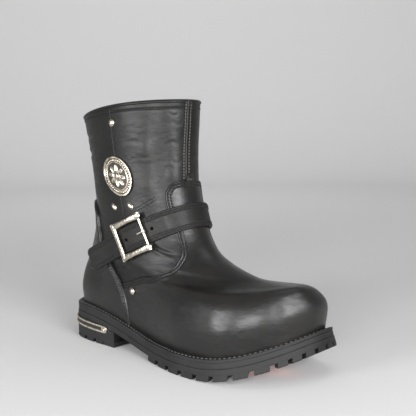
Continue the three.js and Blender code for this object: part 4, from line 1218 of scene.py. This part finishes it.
# Seams of the shaft: places as degrees around and ring, and ridges as shares of their way and radii
FRONT_SEAM = [(176.5, 15), (176, 13.5), (175, 12.4), (174, 11.7)]
FRONT_RIDGE = ([0, 0.06, 0.12, 1], [2.4, 2.3, 1.5, 1.3])
FRONT_ROWS = (-3.2, 3.2)
SIDE_SEAM = [(95.4, 14.87), (96.2, 12.7), (96.7, 10.49), (88, 7.4), (75.1, 4.58)]
SIDE_RIDGE = 0.9
SIDE_ROWS = (0.7,)
DOUBLE_SEAM = [(110, 10.07), (117, 10.28), (126, 10.56), (135, 10.81)]
DOUBLE_ROWS = (-1.6, 1.6)
RIM_ROW = TOP_ROW - HEM.row
PIPING_ROW = TOP_ROW - 0.04
PIPING_RADIUS = 1.5
# How far the threads and the ridges' middles lie out of the leather
THREAD_OUT = Sizes(front=0.1, side=0.05, double=0.02, rim=-0.25)
RIDGE_OUT = Sizes(front=-0.5, side=-0.3, piping=-0.5)
SEAM_POINTS = 200
RIM_POINTS = 400


def seam_line(places):
    return smooth_curve([(math.radians(degrees), row) for degrees, row in places], SEAM_POINTS)


def make_seams(thread):
    ridge, highlight_stitches = Parts(), Parts()
    front, side, double = [seam_line(seam) for seam in (FRONT_SEAM, SIDE_SEAM, DOUBLE_SEAM)]
    rim, top = [np.column_stack([circle(RIM_POINTS), np.full(RIM_POINTS, row)])
                for row in (RIM_ROW, PIPING_ROW)]
    # The front seam's stitches take the lighter thread, a painted highlight
    stitch_rows(highlight_stitches, front, FRONT_ROWS, THREAD_OUT.front)
    stitch_rows(thread, side, SIDE_ROWS, THREAD_OUT.side)
    stitch_rows(thread, double, DOUBLE_ROWS, THREAD_OUT.double)
    stitch_rows(thread, rim, [0], THREAD_OUT.rim)
    radii = np.interp(np.linspace(0, 1, SEAM_POINTS), *FRONT_RIDGE)
    ridge.add(*tube(on_leather(front, RIDGE_OUT.front)[0], radii, 12))
    ridge.add(*tube(on_leather(side, RIDGE_OUT.side)[0], SIDE_RIDGE, 8))
    piping, out_of = on_leather(top, RIDGE_OUT.piping)
    along = unit(np.roll(piping, -1, 0) - np.roll(piping, 1, 0))
    rings = [circle_points(middle, PIPING_RADIUS, first, second, 10)
             for middle, first, second in zip(piping, out_of, np.cross(out_of, along))]
    ridge.add(rings, grid_faces(RIM_POINTS, 10, True, True))
    ridge.piece("shaft_seams", LEATHER, "shaft_leather")
    highlight_stitches.piece("front_seam_stitches", HIGHLIGHT_THREAD, "shaft_leather")


black_thread, grey_thread = Parts(), Parts()
make_upper()
make_vamp(black_thread)
make_counter(black_thread)
make_strap(black_thread)
make_seams(black_thread)
black_thread.piece("leather_stitches", THREAD, "overlay_leather")
make_buckle()
make_badge()
make_rivets()
make_heel_plate()
make_outsole_and_midsole()
make_welt(grey_thread)
grey_thread.piece("welt_stitches", WELT_THREAD, "lining")
make_heel()

NODE_LOOKS = {"insole": LINING, "heel_ridge_lateral": GREY, "heel_ridge_medial": GREY,
              "heel_grip_front": ORANGE, "heel_grip_rear": ORANGE, "sole_medallion": ORANGE,
              **{f"grip_{i}": ORANGE for i in range(1, 9)},
              **{f"sole_eyelet_{i}": NICKEL for i in range(1, 5)}}
for name, look in NODE_LOOKS.items():
    part = bpy.data.objects[name]
    part.data.materials.clear()
    part.data.materials.append(look)


# Studio, in metres from the frame's origin
PAPER = Sizes(flat=2.4, curve=1.0, top=2.6, sides=96)


def make_backdrop():
    """Pale paper that curves up all around the boot."""
    material, tree, shader = nodes_of("backdrop_paper")
    grain = noise(tree, object_coordinates(tree), 900, 2)
    vary_color(tree, shader, grain, (0.6, 0.6, 0.602), (0.64, 0.64, 0.642))
    set_values(shader, {"Roughness": 0.9, "Specular IOR Level": 0})
    bend = np.linspace(0, np.pi / 2, 13)
    flat, curve = PAPER.flat, PAPER.curve
    radius = np.concatenate([[0.02, 0.5, 1.2, 2.0], flat + curve * np.sin(bend), [flat + curve]])
    height = np.concatenate([[0, 0, 0, 0], curve * (1 - np.cos(bend)), [PAPER.top]])
    faces = grid_faces(len(radius), PAPER.sides, False, True)
    faces.append(list(range(PAPER.sides))[::-1])
    points = turned(zip(radius, height), PAPER.sides).reshape(-1, 3)
    make_object("backdrop", points, [face[::-1] for face in faces], material)


def make_world():
    scene = bpy.context.scene
    if scene.world is None:
        scene.world = bpy.data.worlds.new("studio")
    scene.world.use_nodes = True
    background = scene.world.node_tree.nodes["Background"]
    background.inputs["Color"].default_value = (1, 0.99, 0.98, 1)
    background.inputs["Strength"].default_value = 0.37
    scene.view_settings.view_transform = "Standard"


# Lights: name, place, target, size and power
LIGHTS = [
    ("right_softbox", (1.6, -0.45, 0.48), (0.12, 0, 0.16), (0.75, 0.85), 33),
    ("left_softbox", (-0.15, -1.6, 0.4), (0.1, 0, 0.14), (0.6, 0.75), 22),
    ("front_softbox", (0.92, -1.4, 0.32), (0.2, 0, 0.06), (0.6, 0.3), 20),
    ("top_softbox", (0.5, 0.3, 1.7), (0.15, 0, 0.05), (0.7, 0.7), 2.5),
    ("wall_light", (-0.9, 0.9, 2.0), (-2.6, 2.6, 0.5), (1.2, 1.2), 22),
]


def make_lights():
    for name, place, target, size, power in LIGHTS:
        data = bpy.data.lights.new(name, "AREA")
        data.shape = "RECTANGLE"
        data.size, data.size_y = size
        data.energy = power
        light = link_object(name, data)
        light.visible_camera = False
        light.location = place
        way = Vector(target) - light.location
        light.rotation_euler = way.to_track_quat("-Z", "Y").to_euler()


CAMERA_PLACE = (0.661626, -0.510390, 0.227128)
CAMERA_YAW = 2.322095
CAMERA_PITCH = -0.102894
CAMERA_ROLL = -0.017122
FOCAL_PIXELS = 699.8
IMAGE_PIXELS = 416
SENSOR = 36


def make_camera():
    data = bpy.data.cameras.new("camera")
    data.sensor_fit = "HORIZONTAL"
    data.sensor_width = SENSOR
    data.lens = FOCAL_PIXELS * SENSOR / IMAGE_PIXELS
    data.clip_start = 0.01
    camera = link_object("camera", data)
    camera.matrix_world = (
        Matrix.Translation(CAMERA_PLACE) @ Matrix.Rotation(CAMERA_YAW - math.pi / 2, 4, "Z")
        @ Matrix.Rotation(math.pi / 2 + CAMERA_PITCH, 4, "X") @ Matrix.Rotation(CAMERA_ROLL, 4, "Z"))
    bpy.context.scene.camera = camera


make_backdrop()
make_world()
make_lights()
make_camera()
bpy.context.view_layer.update()
